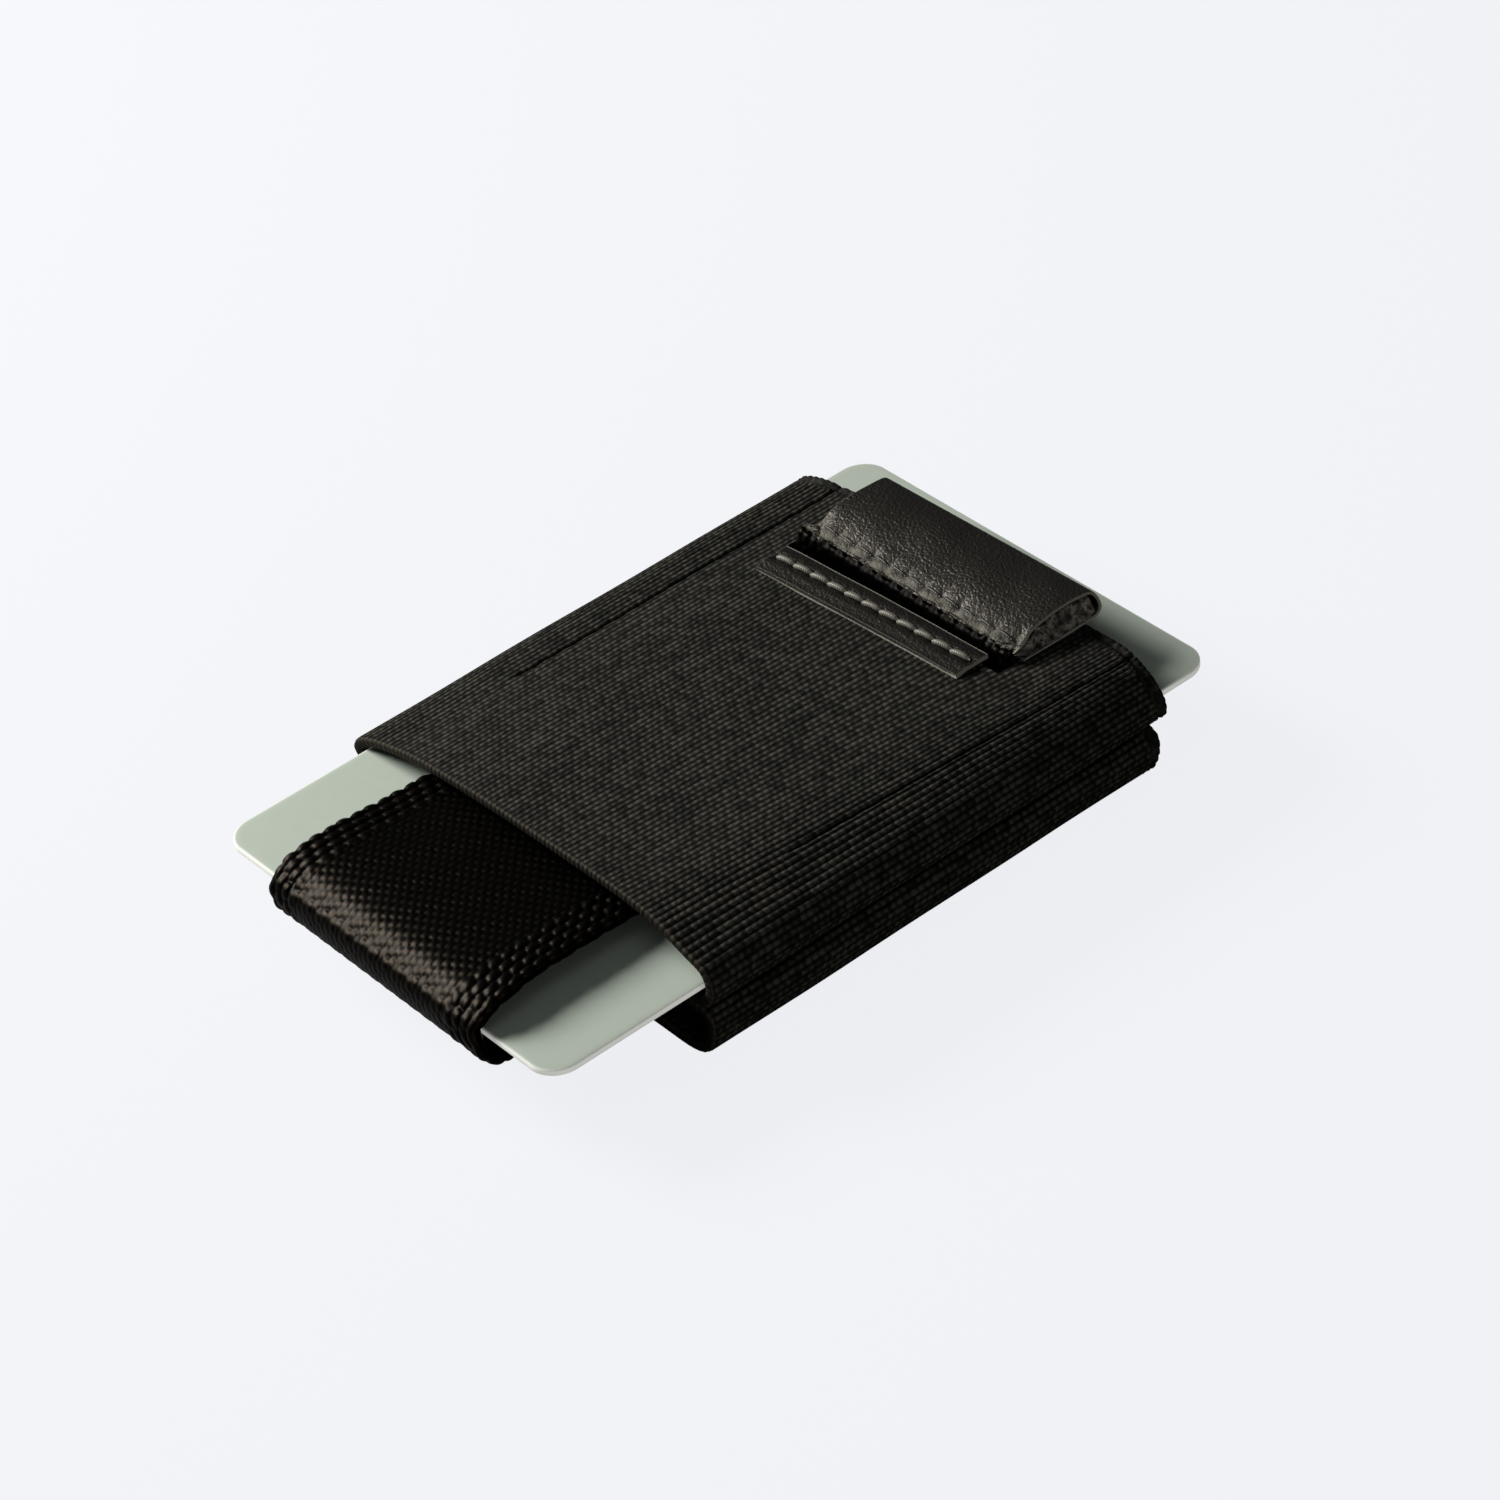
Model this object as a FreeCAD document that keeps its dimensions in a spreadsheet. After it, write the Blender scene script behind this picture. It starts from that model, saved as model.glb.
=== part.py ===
"""Minimalist wallet: an elastic card sleeve over an elastic cash band, with a pull strap.

The sleeve is a flattened tube of ribbed elastic that holds one or more bank cards.  A second
elastic band is sewn under it and makes an open cash pocket.  A webbing strap is sewn to the
floor of the card sleeve, runs forward under the card, round its front edge and back over it,
through a sewn channel under the sleeve's top, and up through a slot into a leather pull tab.
Pulling the tab by two units moves the card out of the far end by one.

Frame: millimetres, +Z up, +X the way the card comes out, origin at the middle of the underside.
"""

import FreeCAD, Part
import Sketcher

import math
import os
import re

SIZES = {
    # card
    "card_length": 85.6,
    "card_width": 53.98,
    "card_thickness": 0.76,
    "card_corner": 3.18,
    "card_shift": 5.25,
    # elastic
    "sleeve_length": 60.0,
    "elastic": 1.2,
    "side_play": 0.81,
    "side_bend": 3.0,
    "mouth_headroom": 1.03,
    "far_headroom": 0.45,
    "cash_length": 58.6,
    "cash_height": 7.3,
    "cash_half_width": 28.3,
    "cash_bend": 4.0,
    "flange_edge": 21.3,
    "deck_sag": 0.9,
    "sag_half_width": 19.0,
    "sag_slope": 2.0,
    # strap
    "strap_width": 33.0,
    "strap_thickness": 1.3,
    "strap_play": 0.05,
    "card_play": 0.29,
    "loop_radius": 3.55,
    "nose_gap": 0.4,
    "run_bend": 2.0,
    "anchor_length": 9.0,
    "anchor_thickness": 1.1,
    "anchor_inset": 4.0,
    # channel in the sleeve's top
    "channel_length": 44.75,
    "channel_ramp": 21.0,
    "lining_thickness": 0.5,
    "lining_gap": 0.2,
    "lining_play": 1.0,
    "lining_slope": 2.3,
    "lining_flange": 2.9,
    "flange_gap": 0.35,
    "seam_spacing": 43.4,
    "groove_width": 0.7,
    "groove_depth": 0.35,
    # slot and its leather patch
    "slot_back": 9.65,
    "slot_length": 2.4,
    "slot_play": 0.5,
    "riser_run": 1.6,
    "riser_play": 0.15,
    "patch_length": 4.0,
    "patch_overlap": 0.65,
    "leather_width": 33.6,
    "patch_thickness": 1.2,
    # pull tab
    "tab_lie": 0.09,
    "tab_length": 10.75,
    "tab_leather": 0.7,
    "tab_core": 1.1,
    "tab_lip": 0.3,
    "pinch_depth": 0.5,
    "pinch_offset": 0.9,
    "pinch_slope": 1.1,
    "neck_length": 1.2,
    "neck_gap": 0.4,
    # threads
    "thread_height": 0.2,
    "thread_width": 0.4,
    "raised_thread": 0.45,
    "channel_pitch": 2.75,
    "deck_pitch": 3.0,
    "deck_seam": 24.0,
    "leather_pitch": 2.9,
    "stitch_share": 0.72,
}

FORMULAS = {
    # heights, from the underside up
    "deck_low": "cash_height - deck_sag",
    "floor_low": "deck_low + elastic",
    "floor_edge": "cash_height + elastic",
    "lower_strap": "floor_low + strap_play",
    "card_bottom": "lower_strap + strap_thickness + card_play",
    "card_middle": "card_bottom + card_thickness / 2",
    "card_top": "card_bottom + card_thickness",
    "lining_bottom": "card_top + lining_gap",
    "lining_top": "lining_bottom + lining_thickness",
    "channel_strap": "lining_top + strap_play",
    "channel_strap_top": "channel_strap + strap_thickness",
    "crest_far": "channel_strap_top + far_headroom + elastic",
    "loop_top": "card_middle + loop_radius",
    "loop_bottom": "card_middle - loop_radius",
    "crest_front": "loop_top + mouth_headroom + elastic",
    # places along the wallet
    "mouth": "0 - sleeve_length / 2",
    "far_rim": "sleeve_length / 2",
    "card_front": "0 - card_shift - card_length / 2",
    "loop_x": "card_front - nose_gap + loop_radius - strap_thickness",
    "channel_start": "far_rim - channel_length",
    "slot_start": "far_rim - slot_back - slot_length",
    "slot_end": "slot_start + slot_length",
    "anchor_end": "far_rim - anchor_inset",
    "anchor_start": "anchor_end - anchor_length",
    # half widths
    "half_width": "card_width / 2 + side_play + elastic",
    "bend_y": "half_width - side_bend",
    "deck_edge_y": "bend_y + sqrt(side_bend ^ 2 - (card_top - cash_height) ^ 2)",
    "floor_edge_y": "bend_y + sqrt((side_bend - elastic) ^ 2 - (card_top - floor_edge) ^ 2)",
    "cash_bend_y": "cash_half_width - cash_bend",
    "cash_top_y": "cash_bend_y + sqrt(cash_bend ^ 2 - (cash_height - cash_bend) ^ 2)",
    "cash_under_y":
        "cash_bend_y + sqrt((cash_bend - elastic) ^ 2 - (cash_height - elastic - cash_bend) ^ 2)",
    # top surface of the sleeve: crown arcs tangent to the side bends at the mouth and far rim
    "rise_front": "crest_front - card_top",
    "rise_far": "crest_far - card_top",
    "crown_front":
        "(bend_y ^ 2 + rise_front ^ 2 - side_bend ^ 2) / (2 * (rise_front - side_bend))",
    "crown_far": "(bend_y ^ 2 + rise_far ^ 2 - side_bend ^ 2) / (2 * (rise_far - side_bend))",
    "seam_y": "seam_spacing / 2",
    "seam_front": "crest_front - crown_front + sqrt(crown_front ^ 2 - seam_y ^ 2)",
    "seam_far": "crest_far - crown_far + sqrt(crown_far ^ 2 - seam_y ^ 2)",
    "crest_fall": "(crest_front - crest_far) / sleeve_length",
    "seam_fall": "(seam_front - seam_far) / sleeve_length",
    "seam_at_start": "seam_far + seam_fall * channel_length",
    # pull tab
    "slot_crest": "crest_far + crest_fall * (far_rim - slot_start)",
    "tab_under": "slot_crest + tab_lie",
    "patch_under": "crest_far + crest_fall * (far_rim - patch_start) + 0.01",
    "patch_end": "slot_start + patch_overlap",
    "patch_start": "patch_end - patch_length",
    "neck_start": "patch_end + neck_gap",
    "neck_end": "neck_start + neck_length",
    "tab_start": "neck_end + neck_gap",
    "tab_thickness": "2 * tab_leather + tab_core",
    "fold_radius": "tab_thickness / 2",
    "fold_x": "tab_start + tab_length - fold_radius",
    "tab_top": "tab_under + tab_thickness",
    "pinch_x": "tab_start + pinch_offset",
}

document = FreeCAD.newDocument("wallet")
sheet = document.addObject("Spreadsheet::Sheet", "Sizes")
for row, (alias, number) in enumerate(SIZES.items(), start=1):
    sheet.set(f"A{row}", alias)
    sheet.set(f"B{row}", str(number))
    sheet.setAlias(f"B{row}", alias)
document.recompute()

pieces = []


def expand(text):
    """Writes a formula out in full, down to the sheet's own cells."""
    def word(match):
        name = match.group(0)
        if name in FORMULAS:
            return "(" + expand(FORMULAS[name]) + ")"
        return "Sizes." + name if name in SIZES else name
    return re.sub(r"[a-z_]+", word, str(text))


def value(text):
    """The number that a formula gives with the sheet as it is."""
    return float(sheet.evalExpression(expand(text)))


def minus(text):
    return f"0 - ({text})"


def keep(thing, label):
    """Marks an object as one sub-part of the wallet."""
    thing.Label = label
    pieces.append(thing)
    return thing


# ---------------------------------------------------------------- sketches and solids

def arc_between(start, end, radius):
    """The minor arc from start to end, bulging to the right for a positive radius."""
    chord = end - start
    left = FreeCAD.Vector(-chord.y, chord.x, 0).normalize()
    reach = math.sqrt(max(radius ** 2 - chord.Length ** 2 / 4, 0))
    centre = (start + end) / 2 + left * math.copysign(reach, radius)
    ends = (start, end) if radius > 0 else (end, start)
    angles = [math.atan2(point.y - centre.y, point.x - centre.x) for point in ends]
    circle = Part.Circle(centre, FreeCAD.Vector(0, 0, 1), abs(radius))
    return Part.ArcOfCircle(circle, angles[0], angles[1])


def outline(body, name, role, offset, corners):
    """A closed sketch on an origin plane.

    Each corner is (across, up), or (across, up, radius, bulge) where an arc goes on to the next
    corner.  The corners run counterclockwise, and bulge is 1 outwards and -1 inwards.
    """
    sketch = body.newObject("Sketcher::SketchObject", name)
    plane = next(item for item in body.Origin.OriginFeatures if item.Role == role)
    sketch.AttachmentSupport = (plane, [""])
    sketch.MapMode = "FlatFace"
    sketch.setExpression("AttachmentOffset.Base.z", expand(offset))
    points = [FreeCAD.Vector(value(corner[0]), value(corner[1]), 0) for corner in corners]
    starts, ends = [], []
    for index, corner in enumerate(corners):
        start, end = points[index], points[(index + 1) % len(points)]
        if len(corner) == 2:
            sketch.addGeometry(Part.LineSegment(start, end))
            starts.append(1)
            ends.append(2)
        else:
            bulge = corner[3]
            sketch.addGeometry(arc_between(start, end, bulge * value(corner[2])))
            starts.append(1 if bulge > 0 else 2)
            ends.append(2 if bulge > 0 else 1)
    for index, corner in enumerate(corners):
        following = (index + 1) % len(corners)
        sketch.addConstraint(
            Sketcher.Constraint("Coincident", index, ends[index], following, starts[following]))
        bound = [("DistanceX", corner[0], points[index].x), ("DistanceY", corner[1], points[index].y)]
        for kind, text, number in bound:
            made = sketch.addConstraint(
                Sketcher.Constraint(kind, -1, 1, index, starts[index], number))
            sketch.setExpression(f"Constraints[{made}]", expand(text))
        if len(corner) == 4:
            made = sketch.addConstraint(Sketcher.Constraint("Radius", index, value(corner[2])))
            sketch.setExpression(f"Constraints[{made}]", expand(corner[2]))
    return sketch


def new_body(label):
    return document.addObject("PartDesign::Body", label)


def strip(label, width, corners):
    """A side outline in X and Z, padded evenly to both sides of the middle."""
    body = new_body(label)
    sketch = outline(body, label + "_outline", "XZ_Plane", "0", corners)
    pad = body.newObject("PartDesign::Pad", label + "_pad")
    pad.Profile = sketch
    pad.SideType = "Symmetric"
    pad.setExpression("Length", expand(width))
    body.Tip = pad
    return body


def lofted(body, name, kind, sections):
    """A loft through outlines drawn across the wallet at two places along it."""
    sketches = [
        outline(body, f"{name}_{number}", "YZ_Plane", place, corners)
        for number, (place, corners) in enumerate(sections)
    ]
    loft = body.newObject("PartDesign::" + kind, name)
    loft.Profile = sketches[0]
    loft.Sections = sketches[1:]
    loft.Ruled = True
    body.Tip = loft
    return loft


def block(name, low, size, fall="0"):
    """A box given by its low corner and size, which drops by fall for each millimetre of X."""
    box = document.addObject("Part::Box", name)
    for side, text in zip(("Length", "Width", "Height"), size):
        box.setExpression(side, expand(text))
    for axis, text in zip("xyz", low):
        box.setExpression("Placement.Base." + axis, expand(text))
    if fall != "0":
        box.Placement.Rotation.Axis = FreeCAD.Vector(0, 1, 0)
        box.setExpression("Placement.Rotation.Angle", f"atan({expand(fall)})")
    return box


def stitches(label, spots, size, fall="0"):
    """Separate threads in one sub-part: a box for each low corner in spots."""
    threads = [
        block(f"{label}_{number}", spot, size, fall) for number, spot in enumerate(spots)
    ]
    group = document.addObject("Part::Compound", label)
    group.Links = threads
    return keep(group, label)


# ---------------------------------------------------------------- elastic card sleeve

def crown(crest, crown_radius, skin):
    """Corners of the sleeve's section above its floor; skin is 0 outside and elastic inside."""
    centre = f"({crest} - {crown_radius})"
    share = f"({crown_radius} - {skin}) / ({crown_radius} - side_bend)"
    shoulder_y = f"bend_y * {share}"
    shoulder_z = f"{centre} + (card_top - {centre}) * {share}"
    bend = f"side_bend - {skin}"
    edge_y, edge_z = ("deck_edge_y", "cash_height") if skin == "0" else ("floor_edge_y", "floor_edge")
    return [
        (edge_y, edge_z, bend, 1),
        (shoulder_y, shoulder_z, f"{crown_radius} - {skin}", 1),
        (minus(shoulder_y), shoulder_z, bend, 1),
        (minus(edge_y), edge_z),
    ]


def floor(skin):
    """Corners of the sleeve's floor, which sags in the middle to make room for the strap."""
    edge, low = ("cash_height", "deck_low") if skin == "0" else ("floor_edge", "floor_low")
    slope_y = "sag_half_width + sag_slope"
    return [
        (minus(slope_y), edge), (minus("sag_half_width"), low),
        ("sag_half_width", low), (slope_y, edge),
    ]


def sleeve_sections(skin, over):
    """The section at the mouth and at the far rim, each moved out by over along X."""
    return [
        (f"mouth - {over}", crown("crest_front", "crown_front", skin) + floor(skin)),
        (f"far_rim + {over}", crown("crest_far", "crown_far", skin) + floor(skin)),
    ]


sleeve_body = new_body("sleeve_tube")
lofted(sleeve_body, "sleeve_outside", "AdditiveLoft", sleeve_sections("0", "0"))
lofted(sleeve_body, "sleeve_hollow", "SubtractiveLoft", sleeve_sections("elastic", "0"))

slot_tool = block(
    "slot_tool",
    ("slot_start", "0 - (strap_width + slot_play) / 2", "channel_strap_top"),
    ("slot_length", "strap_width + slot_play", "slot_crest"),
)
groove_tools = [
    block(
        f"groove_tool_{side}",
        ("channel_start", f"{sign} * seam_y - groove_width / 2", "seam_at_start - groove_depth"),
        ("channel_length + 1", "groove_width", "1"),
        "seam_fall",
    )
    for side, sign in (("left", "1"), ("right", "(0 - 1)"))
]
sleeve_tools = document.addObject("Part::MultiFuse", "sleeve_tools")
sleeve_tools.Shapes = [slot_tool] + groove_tools
card_sleeve = document.addObject("Part::Cut", "card_sleeve")
card_sleeve.Base = sleeve_body
card_sleeve.Tool = sleeve_tools
keep(card_sleeve, "card_sleeve")

# ---------------------------------------------------------------- cash band under the sleeve

cash_body = new_body("cash_band")
cash_sketch = outline(cash_body, "cash_section", "YZ_Plane", "mouth", [
    (minus("cash_bend_y"), "0"),
    ("cash_bend_y", "0", "cash_bend", 1),
    ("cash_top_y", "cash_height"),
    ("flange_edge", "cash_height"),
    ("flange_edge", "cash_height - elastic"),
    ("cash_under_y", "cash_height - elastic", "cash_bend - elastic", -1),
    ("cash_bend_y", "elastic"),
    (minus("cash_bend_y"), "elastic", "cash_bend - elastic", -1),
    (minus("cash_under_y"), "cash_height - elastic"),
    (minus("flange_edge"), "cash_height - elastic"),
    (minus("flange_edge"), "cash_height"),
    (minus("cash_top_y"), "cash_height", "cash_bend", 1),
])
cash_pad = cash_body.newObject("PartDesign::Pad", "cash_pad")
cash_pad.Profile = cash_sketch
cash_pad.setExpression("Length", expand("cash_length"))
cash_body.Tip = cash_pad
keep(cash_body, "cash_sleeve")

# ---------------------------------------------------------------- channel lining

def lining_section(place):
    """A shallow tray: a middle under the strap and two flanges up against the sleeve's top."""
    middle = "strap_width / 2 + lining_play"
    inner = f"{middle} + lining_slope"
    outer = f"{inner} + lining_flange"
    flange = f"seam_far - elastic - flange_gap + seam_fall * (far_rim - ({place}))"
    under = f"{flange} - lining_thickness"
    right = [(middle, "lining_bottom"), (inner, under), (outer, under), (outer, flange),
             (inner, flange), (middle, "lining_top")]
    left = [(minus(across), up) for across, up in reversed(right)]
    return right + left


lining_body = new_body("lining")
lofted(lining_body, "lining_loft", "AdditiveLoft", [
    ("channel_start", lining_section("channel_start")), ("far_rim", lining_section("far_rim")),
])
keep(lining_body, "channel_lining")

# ---------------------------------------------------------------- card

def rounded_rectangle(left, right, half, radius):
    """Corners of a rectangle with quarter-circle corners, counterclockwise from the lower left."""
    return [
        (f"{left} + {radius}", minus(half)),
        (f"{right} - {radius}", minus(half), radius, 1),
        (right, f"{minus(half)} + {radius}"),
        (right, f"{half} - {radius}", radius, 1),
        (f"{right} - {radius}", half),
        (f"{left} + {radius}", half, radius, 1),
        (left, f"{half} - {radius}"),
        (left, f"{minus(half)} + {radius}", radius, 1),
    ]


card_body = new_body("card_blank")
card_sketch = outline(
    card_body, "card_outline", "XY_Plane", "card_bottom",
    rounded_rectangle("card_front", "card_front + card_length", "card_width / 2", "card_corner"))
card_pad = card_body.newObject("PartDesign::Pad", "card_pad")
card_pad.Profile = card_sketch
card_pad.setExpression("Length", expand("card_thickness"))
card_body.Tip = card_pad
keep(card_body, "card")

# ---------------------------------------------------------------- strap

ramp_end = "channel_start + run_bend"
ramp_start = f"{ramp_end} - channel_ramp"

keep(strip("anchor_end", "strap_width", [
    ("anchor_start", "floor_low"),
    ("anchor_end", "floor_low"),
    ("anchor_end", "floor_low + anchor_thickness"),
    ("anchor_start", "floor_low + anchor_thickness"),
]), "strap_anchor_end")

keep(strip("lower_run", "strap_width", [
    ("loop_x", "loop_bottom"),
    ("loop_x + run_bend", "loop_bottom"),
    ("mouth - run_bend", "lower_strap"),
    ("anchor_start", "lower_strap"),
    ("anchor_start", "lower_strap + strap_thickness"),
    ("mouth - run_bend", "lower_strap + strap_thickness"),
    ("loop_x + run_bend", "loop_bottom + strap_thickness"),
    ("loop_x", "loop_bottom + strap_thickness"),
]), "strap_lower_run")

keep(strip("front_loop", "strap_width", [
    ("loop_x", "loop_top", "loop_radius", 1),
    ("loop_x - loop_radius", "card_middle", "loop_radius", 1),
    ("loop_x", "loop_bottom"),
    ("loop_x", "loop_bottom + strap_thickness", "loop_radius - strap_thickness", -1),
    ("loop_x - loop_radius + strap_thickness", "card_middle", "loop_radius - strap_thickness", -1),
    ("loop_x", "loop_top - strap_thickness"),
]), "strap_front_loop")

keep(strip("upper_run", "strap_width", [
    ("loop_x", "loop_top - strap_thickness"),
    (ramp_start, "loop_top - strap_thickness"),
    (ramp_end, "channel_strap"),
    ("slot_start - 1", "channel_strap"),
    ("slot_start - 1", "channel_strap_top"),
    (ramp_end, "channel_strap_top"),
    (ramp_start, "loop_top"),
    ("loop_x", "loop_top"),
]), "strap_upper_run")

riser_right = "slot_end - riser_play"
riser_left = f"{riser_right} - strap_thickness * 1.11"
keep(strip("slot_riser", "strap_width", [
    ("slot_start - 1", "channel_strap"),
    (f"{riser_right} - riser_run", "channel_strap"),
    (riser_right, "tab_under"),
    (riser_left, "tab_under"),
    (f"{riser_left} - riser_run * 0.6", "channel_strap_top"),
    ("slot_start - 1", "channel_strap_top"),
]), "strap_slot_riser")

keep(strip("neck", "strap_width", [
    ("neck_start", "tab_under"),
    ("neck_end", "tab_under"),
    ("neck_end", "tab_under + tab_core"),
    ("neck_start", "tab_under + tab_core"),
]), "strap_neck")

# ---------------------------------------------------------------- leather patch and pull tab

keep(strip("patch", "leather_width", [
    ("patch_start", "patch_under"),
    ("patch_end", "patch_under"),
    ("patch_end", "patch_under + patch_thickness"),
    ("patch_start", "patch_under + patch_thickness"),
]), "slot_patch")

core_bottom = "tab_under + tab_leather"
core_top = "tab_top - tab_leather"
fold_centre = "tab_under + fold_radius"
inner_fold = "fold_radius - tab_leather"
keep(strip("tail", "strap_width", [
    ("tab_start", core_bottom),
    ("fold_x", core_bottom),
    ("fold_x", core_top),
    ("pinch_x + pinch_slope", core_top),
    ("pinch_x", f"{core_top} - pinch_depth"),
    ("tab_start", f"{core_top} - pinch_depth"),
]), "strap_tail")

keep(strip("leather", "leather_width", [
    ("tab_start + tab_lip", "tab_under"),
    ("fold_x", "tab_under", "fold_radius", 1),
    ("fold_x + fold_radius", fold_centre, "fold_radius", 1),
    ("fold_x", "tab_top"),
    ("pinch_x + pinch_slope", "tab_top"),
    ("pinch_x", "tab_top - pinch_depth"),
    ("tab_start", "tab_top - pinch_depth / 2"),
    ("tab_start", f"{core_top} - pinch_depth"),
    ("pinch_x", f"{core_top} - pinch_depth"),
    ("pinch_x + pinch_slope", core_top),
    ("fold_x", core_top, inner_fold, -1),
    (f"fold_x + {inner_fold}", fold_centre, inner_fold, -1),
    ("fold_x", core_bottom),
    ("tab_start + tab_lip", core_bottom),
]), "tab_leather")

# ---------------------------------------------------------------- threads

def row_along(start, length, pitch, across, height, fall="0"):
    """Low corners of stitches that follow each other along X."""
    count = int(value(length) / value(pitch))
    return [
        (f"{start} + {pitch} * ({number} + 0.14)", f"{across} - thread_width / 2",
         f"{height} - ({fall}) * {pitch} * ({number} + 0.14)")
        for number in range(count)
    ]


def row_across(place, width, pitch, height):
    """Low corners of stitches that follow each other along Y, evenly about the middle."""
    count = int(value(width) / value(pitch))
    return [
        (place, f"{pitch} * ({number} - {count} / 2 + (1 - stitch_share) / 2)", height)
        for number in range(count)
    ]


along = ("channel_pitch * stitch_share", "thread_width", "thread_height")
for side, sign in (("left", "1"), ("right", "(0 - 1)")):
    seam = f"{sign} * seam_y"
    stitches(
        f"channel_stitch_{side}",
        row_along("channel_start", "channel_length", "channel_pitch", seam,
                  "seam_at_start - groove_depth", "seam_fall"),
        along, "seam_fall")
    deck = f"{sign} * deck_seam"
    stitches(
        f"deck_stitch_{side}",
        row_along("mouth", "cash_length", "deck_pitch", deck, "floor_edge")
        + row_along("mouth", "cash_length", "deck_pitch", deck,
                    "cash_height - elastic - thread_height"),
        ("deck_pitch * stitch_share", "thread_width", "thread_height"))

across = ("thread_width", "leather_pitch * stitch_share", "thread_height")
stitches(
    "anchor_stitch",
    [spot for share in ("0.25", "0.75")
     for spot in row_across(f"anchor_start + anchor_length * {share}", "strap_width",
                            "leather_pitch", "floor_low + anchor_thickness")],
    across)
raised = ("thread_width", "leather_pitch * stitch_share", "raised_thread")
stitches(
    "patch_stitch",
    row_across("(patch_start + patch_end - thread_width) / 2", "leather_width",
               "leather_pitch", "patch_under + patch_thickness"),
    raised)
stitches(
    "tab_stitch",
    row_across("pinch_x - thread_width / 2", "leather_width", "leather_pitch",
               "tab_top - pinch_depth + pinch_depth * thread_width / 2 / pinch_slope"),
    across)

# ---------------------------------------------------------------- build and write

document.recompute()
for item in document.Objects:
    if {"Invalid", "Error"} & set(item.State):
        raise RuntimeError(f"{item.Name} did not build: {item.State}")
for piece in pieces:
    if piece.Shape.isNull() or not piece.Shape.isValid():
        raise RuntimeError(f"{piece.Label} has no valid shape")

os.makedirs("parts", exist_ok=True)
for piece in pieces:
    piece.Shape.exportStep(f"parts/{piece.Label}.step")
    box = piece.Shape.optimalBoundingBox(False)
    print(f"{piece.Label:22s} solids {len(piece.Shape.Solids):3d}  volume {piece.Shape.Volume:9.1f}"
          f"  X {box.XMin:7.2f} {box.XMax:7.2f}  Y {box.YMin:7.2f} {box.YMax:7.2f}"
          f"  Z {box.ZMin:6.2f} {box.ZMax:6.2f}")
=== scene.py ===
"""Looks for an elastic card wallet with a webbing pull strap and a leather tab.

Every piece is a surface worked out with numpy in millimetres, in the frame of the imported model:
+Z up, +X the way the card comes out.  The mesh is then written in metres.
"""

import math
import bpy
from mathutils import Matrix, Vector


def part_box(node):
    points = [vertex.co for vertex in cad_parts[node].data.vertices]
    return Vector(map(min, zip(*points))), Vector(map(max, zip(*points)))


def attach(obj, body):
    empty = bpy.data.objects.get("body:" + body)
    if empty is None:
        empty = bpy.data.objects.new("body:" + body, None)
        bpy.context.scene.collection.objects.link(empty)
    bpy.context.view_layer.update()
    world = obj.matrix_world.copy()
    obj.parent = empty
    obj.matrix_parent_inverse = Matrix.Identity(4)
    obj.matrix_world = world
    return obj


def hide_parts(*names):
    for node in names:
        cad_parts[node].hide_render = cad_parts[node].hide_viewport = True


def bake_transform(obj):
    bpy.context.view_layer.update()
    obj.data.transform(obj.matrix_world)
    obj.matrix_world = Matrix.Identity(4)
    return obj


bl_info = {
    "name": "Card Wallet Maker",
    "version": (1, 0, 0),
    "blender": (4, 5, 0),
    "location": "View3D > Sidebar > Wallet",
    "description": "Dresses a packed card wallet in elastic, webbing, leather and thread",
    "category": "Add Mesh",
}

import bpy
import numpy as np
from mathutils import Matrix, Vector

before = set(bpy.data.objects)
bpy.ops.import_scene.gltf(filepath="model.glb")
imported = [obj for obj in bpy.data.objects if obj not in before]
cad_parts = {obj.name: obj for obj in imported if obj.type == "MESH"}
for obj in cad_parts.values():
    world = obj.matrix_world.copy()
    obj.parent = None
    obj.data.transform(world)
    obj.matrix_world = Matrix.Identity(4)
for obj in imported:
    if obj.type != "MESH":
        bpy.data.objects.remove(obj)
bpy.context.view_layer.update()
MM = 0.001


def box_mm(node):
    """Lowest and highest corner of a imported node, in millimetres."""
    low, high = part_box(node)
    return np.array(low) / MM, np.array(high) / MM


def crest_near(node, place):
    """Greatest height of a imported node's points within a millimetre of a place along X."""
    points = np.array([vertex.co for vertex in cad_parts[node].data.vertices]) / MM
    return points[np.abs(points[:, 0] - place) < 1.0, 2].max()


SLEEVE_LOW, SLEEVE_HIGH = box_mm("card_sleeve")
CASH_LOW, CASH_HIGH = box_mm("cash_sleeve")
CARD_LOW, CARD_HIGH = box_mm("card")
LOOP_LOW, LOOP_HIGH = box_mm("strap_front_loop")
PATCH_LOW, PATCH_HIGH = box_mm("slot_patch")
TAB_LOW, TAB_HIGH = box_mm("tab_leather")
SEAM_LOW, SEAM_HIGH = box_mm("channel_stitch_left")
UPPER_LOW = box_mm("strap_upper_run")[0]
LOWER_HIGH = box_mm("strap_lower_run")[1]
RISER_HIGH = box_mm("strap_slot_riser")[1]
NECK_HIGH = box_mm("strap_neck")[1]
LINING_LOW = box_mm("channel_lining")[0]
CREST_MOUTH = crest_near("card_sleeve", SLEEVE_LOW[0])
CREST_FAR = crest_near("card_sleeve", SLEEVE_HIGH[0])

SEAM_Y = (SEAM_LOW[1] + SEAM_HIGH[1]) / 2
SEAM_PITCH = 2.75
HALF_STRAP = 0.65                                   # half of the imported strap's thickness
STRAP_HALF_WIDTH = NECK_HIGH[1] - 0.1
TAB_STITCH = 21.5                                   # places along X of the rows of stitches
PATCH_STITCH = 16.5
TAB_MIDDLE = (TAB_LOW[2] + TAB_HIGH[2]) / 2 - 0.05  # height between the tab's two layers
PIVOT = np.array([NECK_HIGH[0] + 0.4, 15.2])        # where the tab's tongue hinges, in X and Z
TRAVEL = 30.0                                       # length of strap that the tab draws out
GATHER = 0.45                                       # length that it is gathered up in at rest


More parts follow.
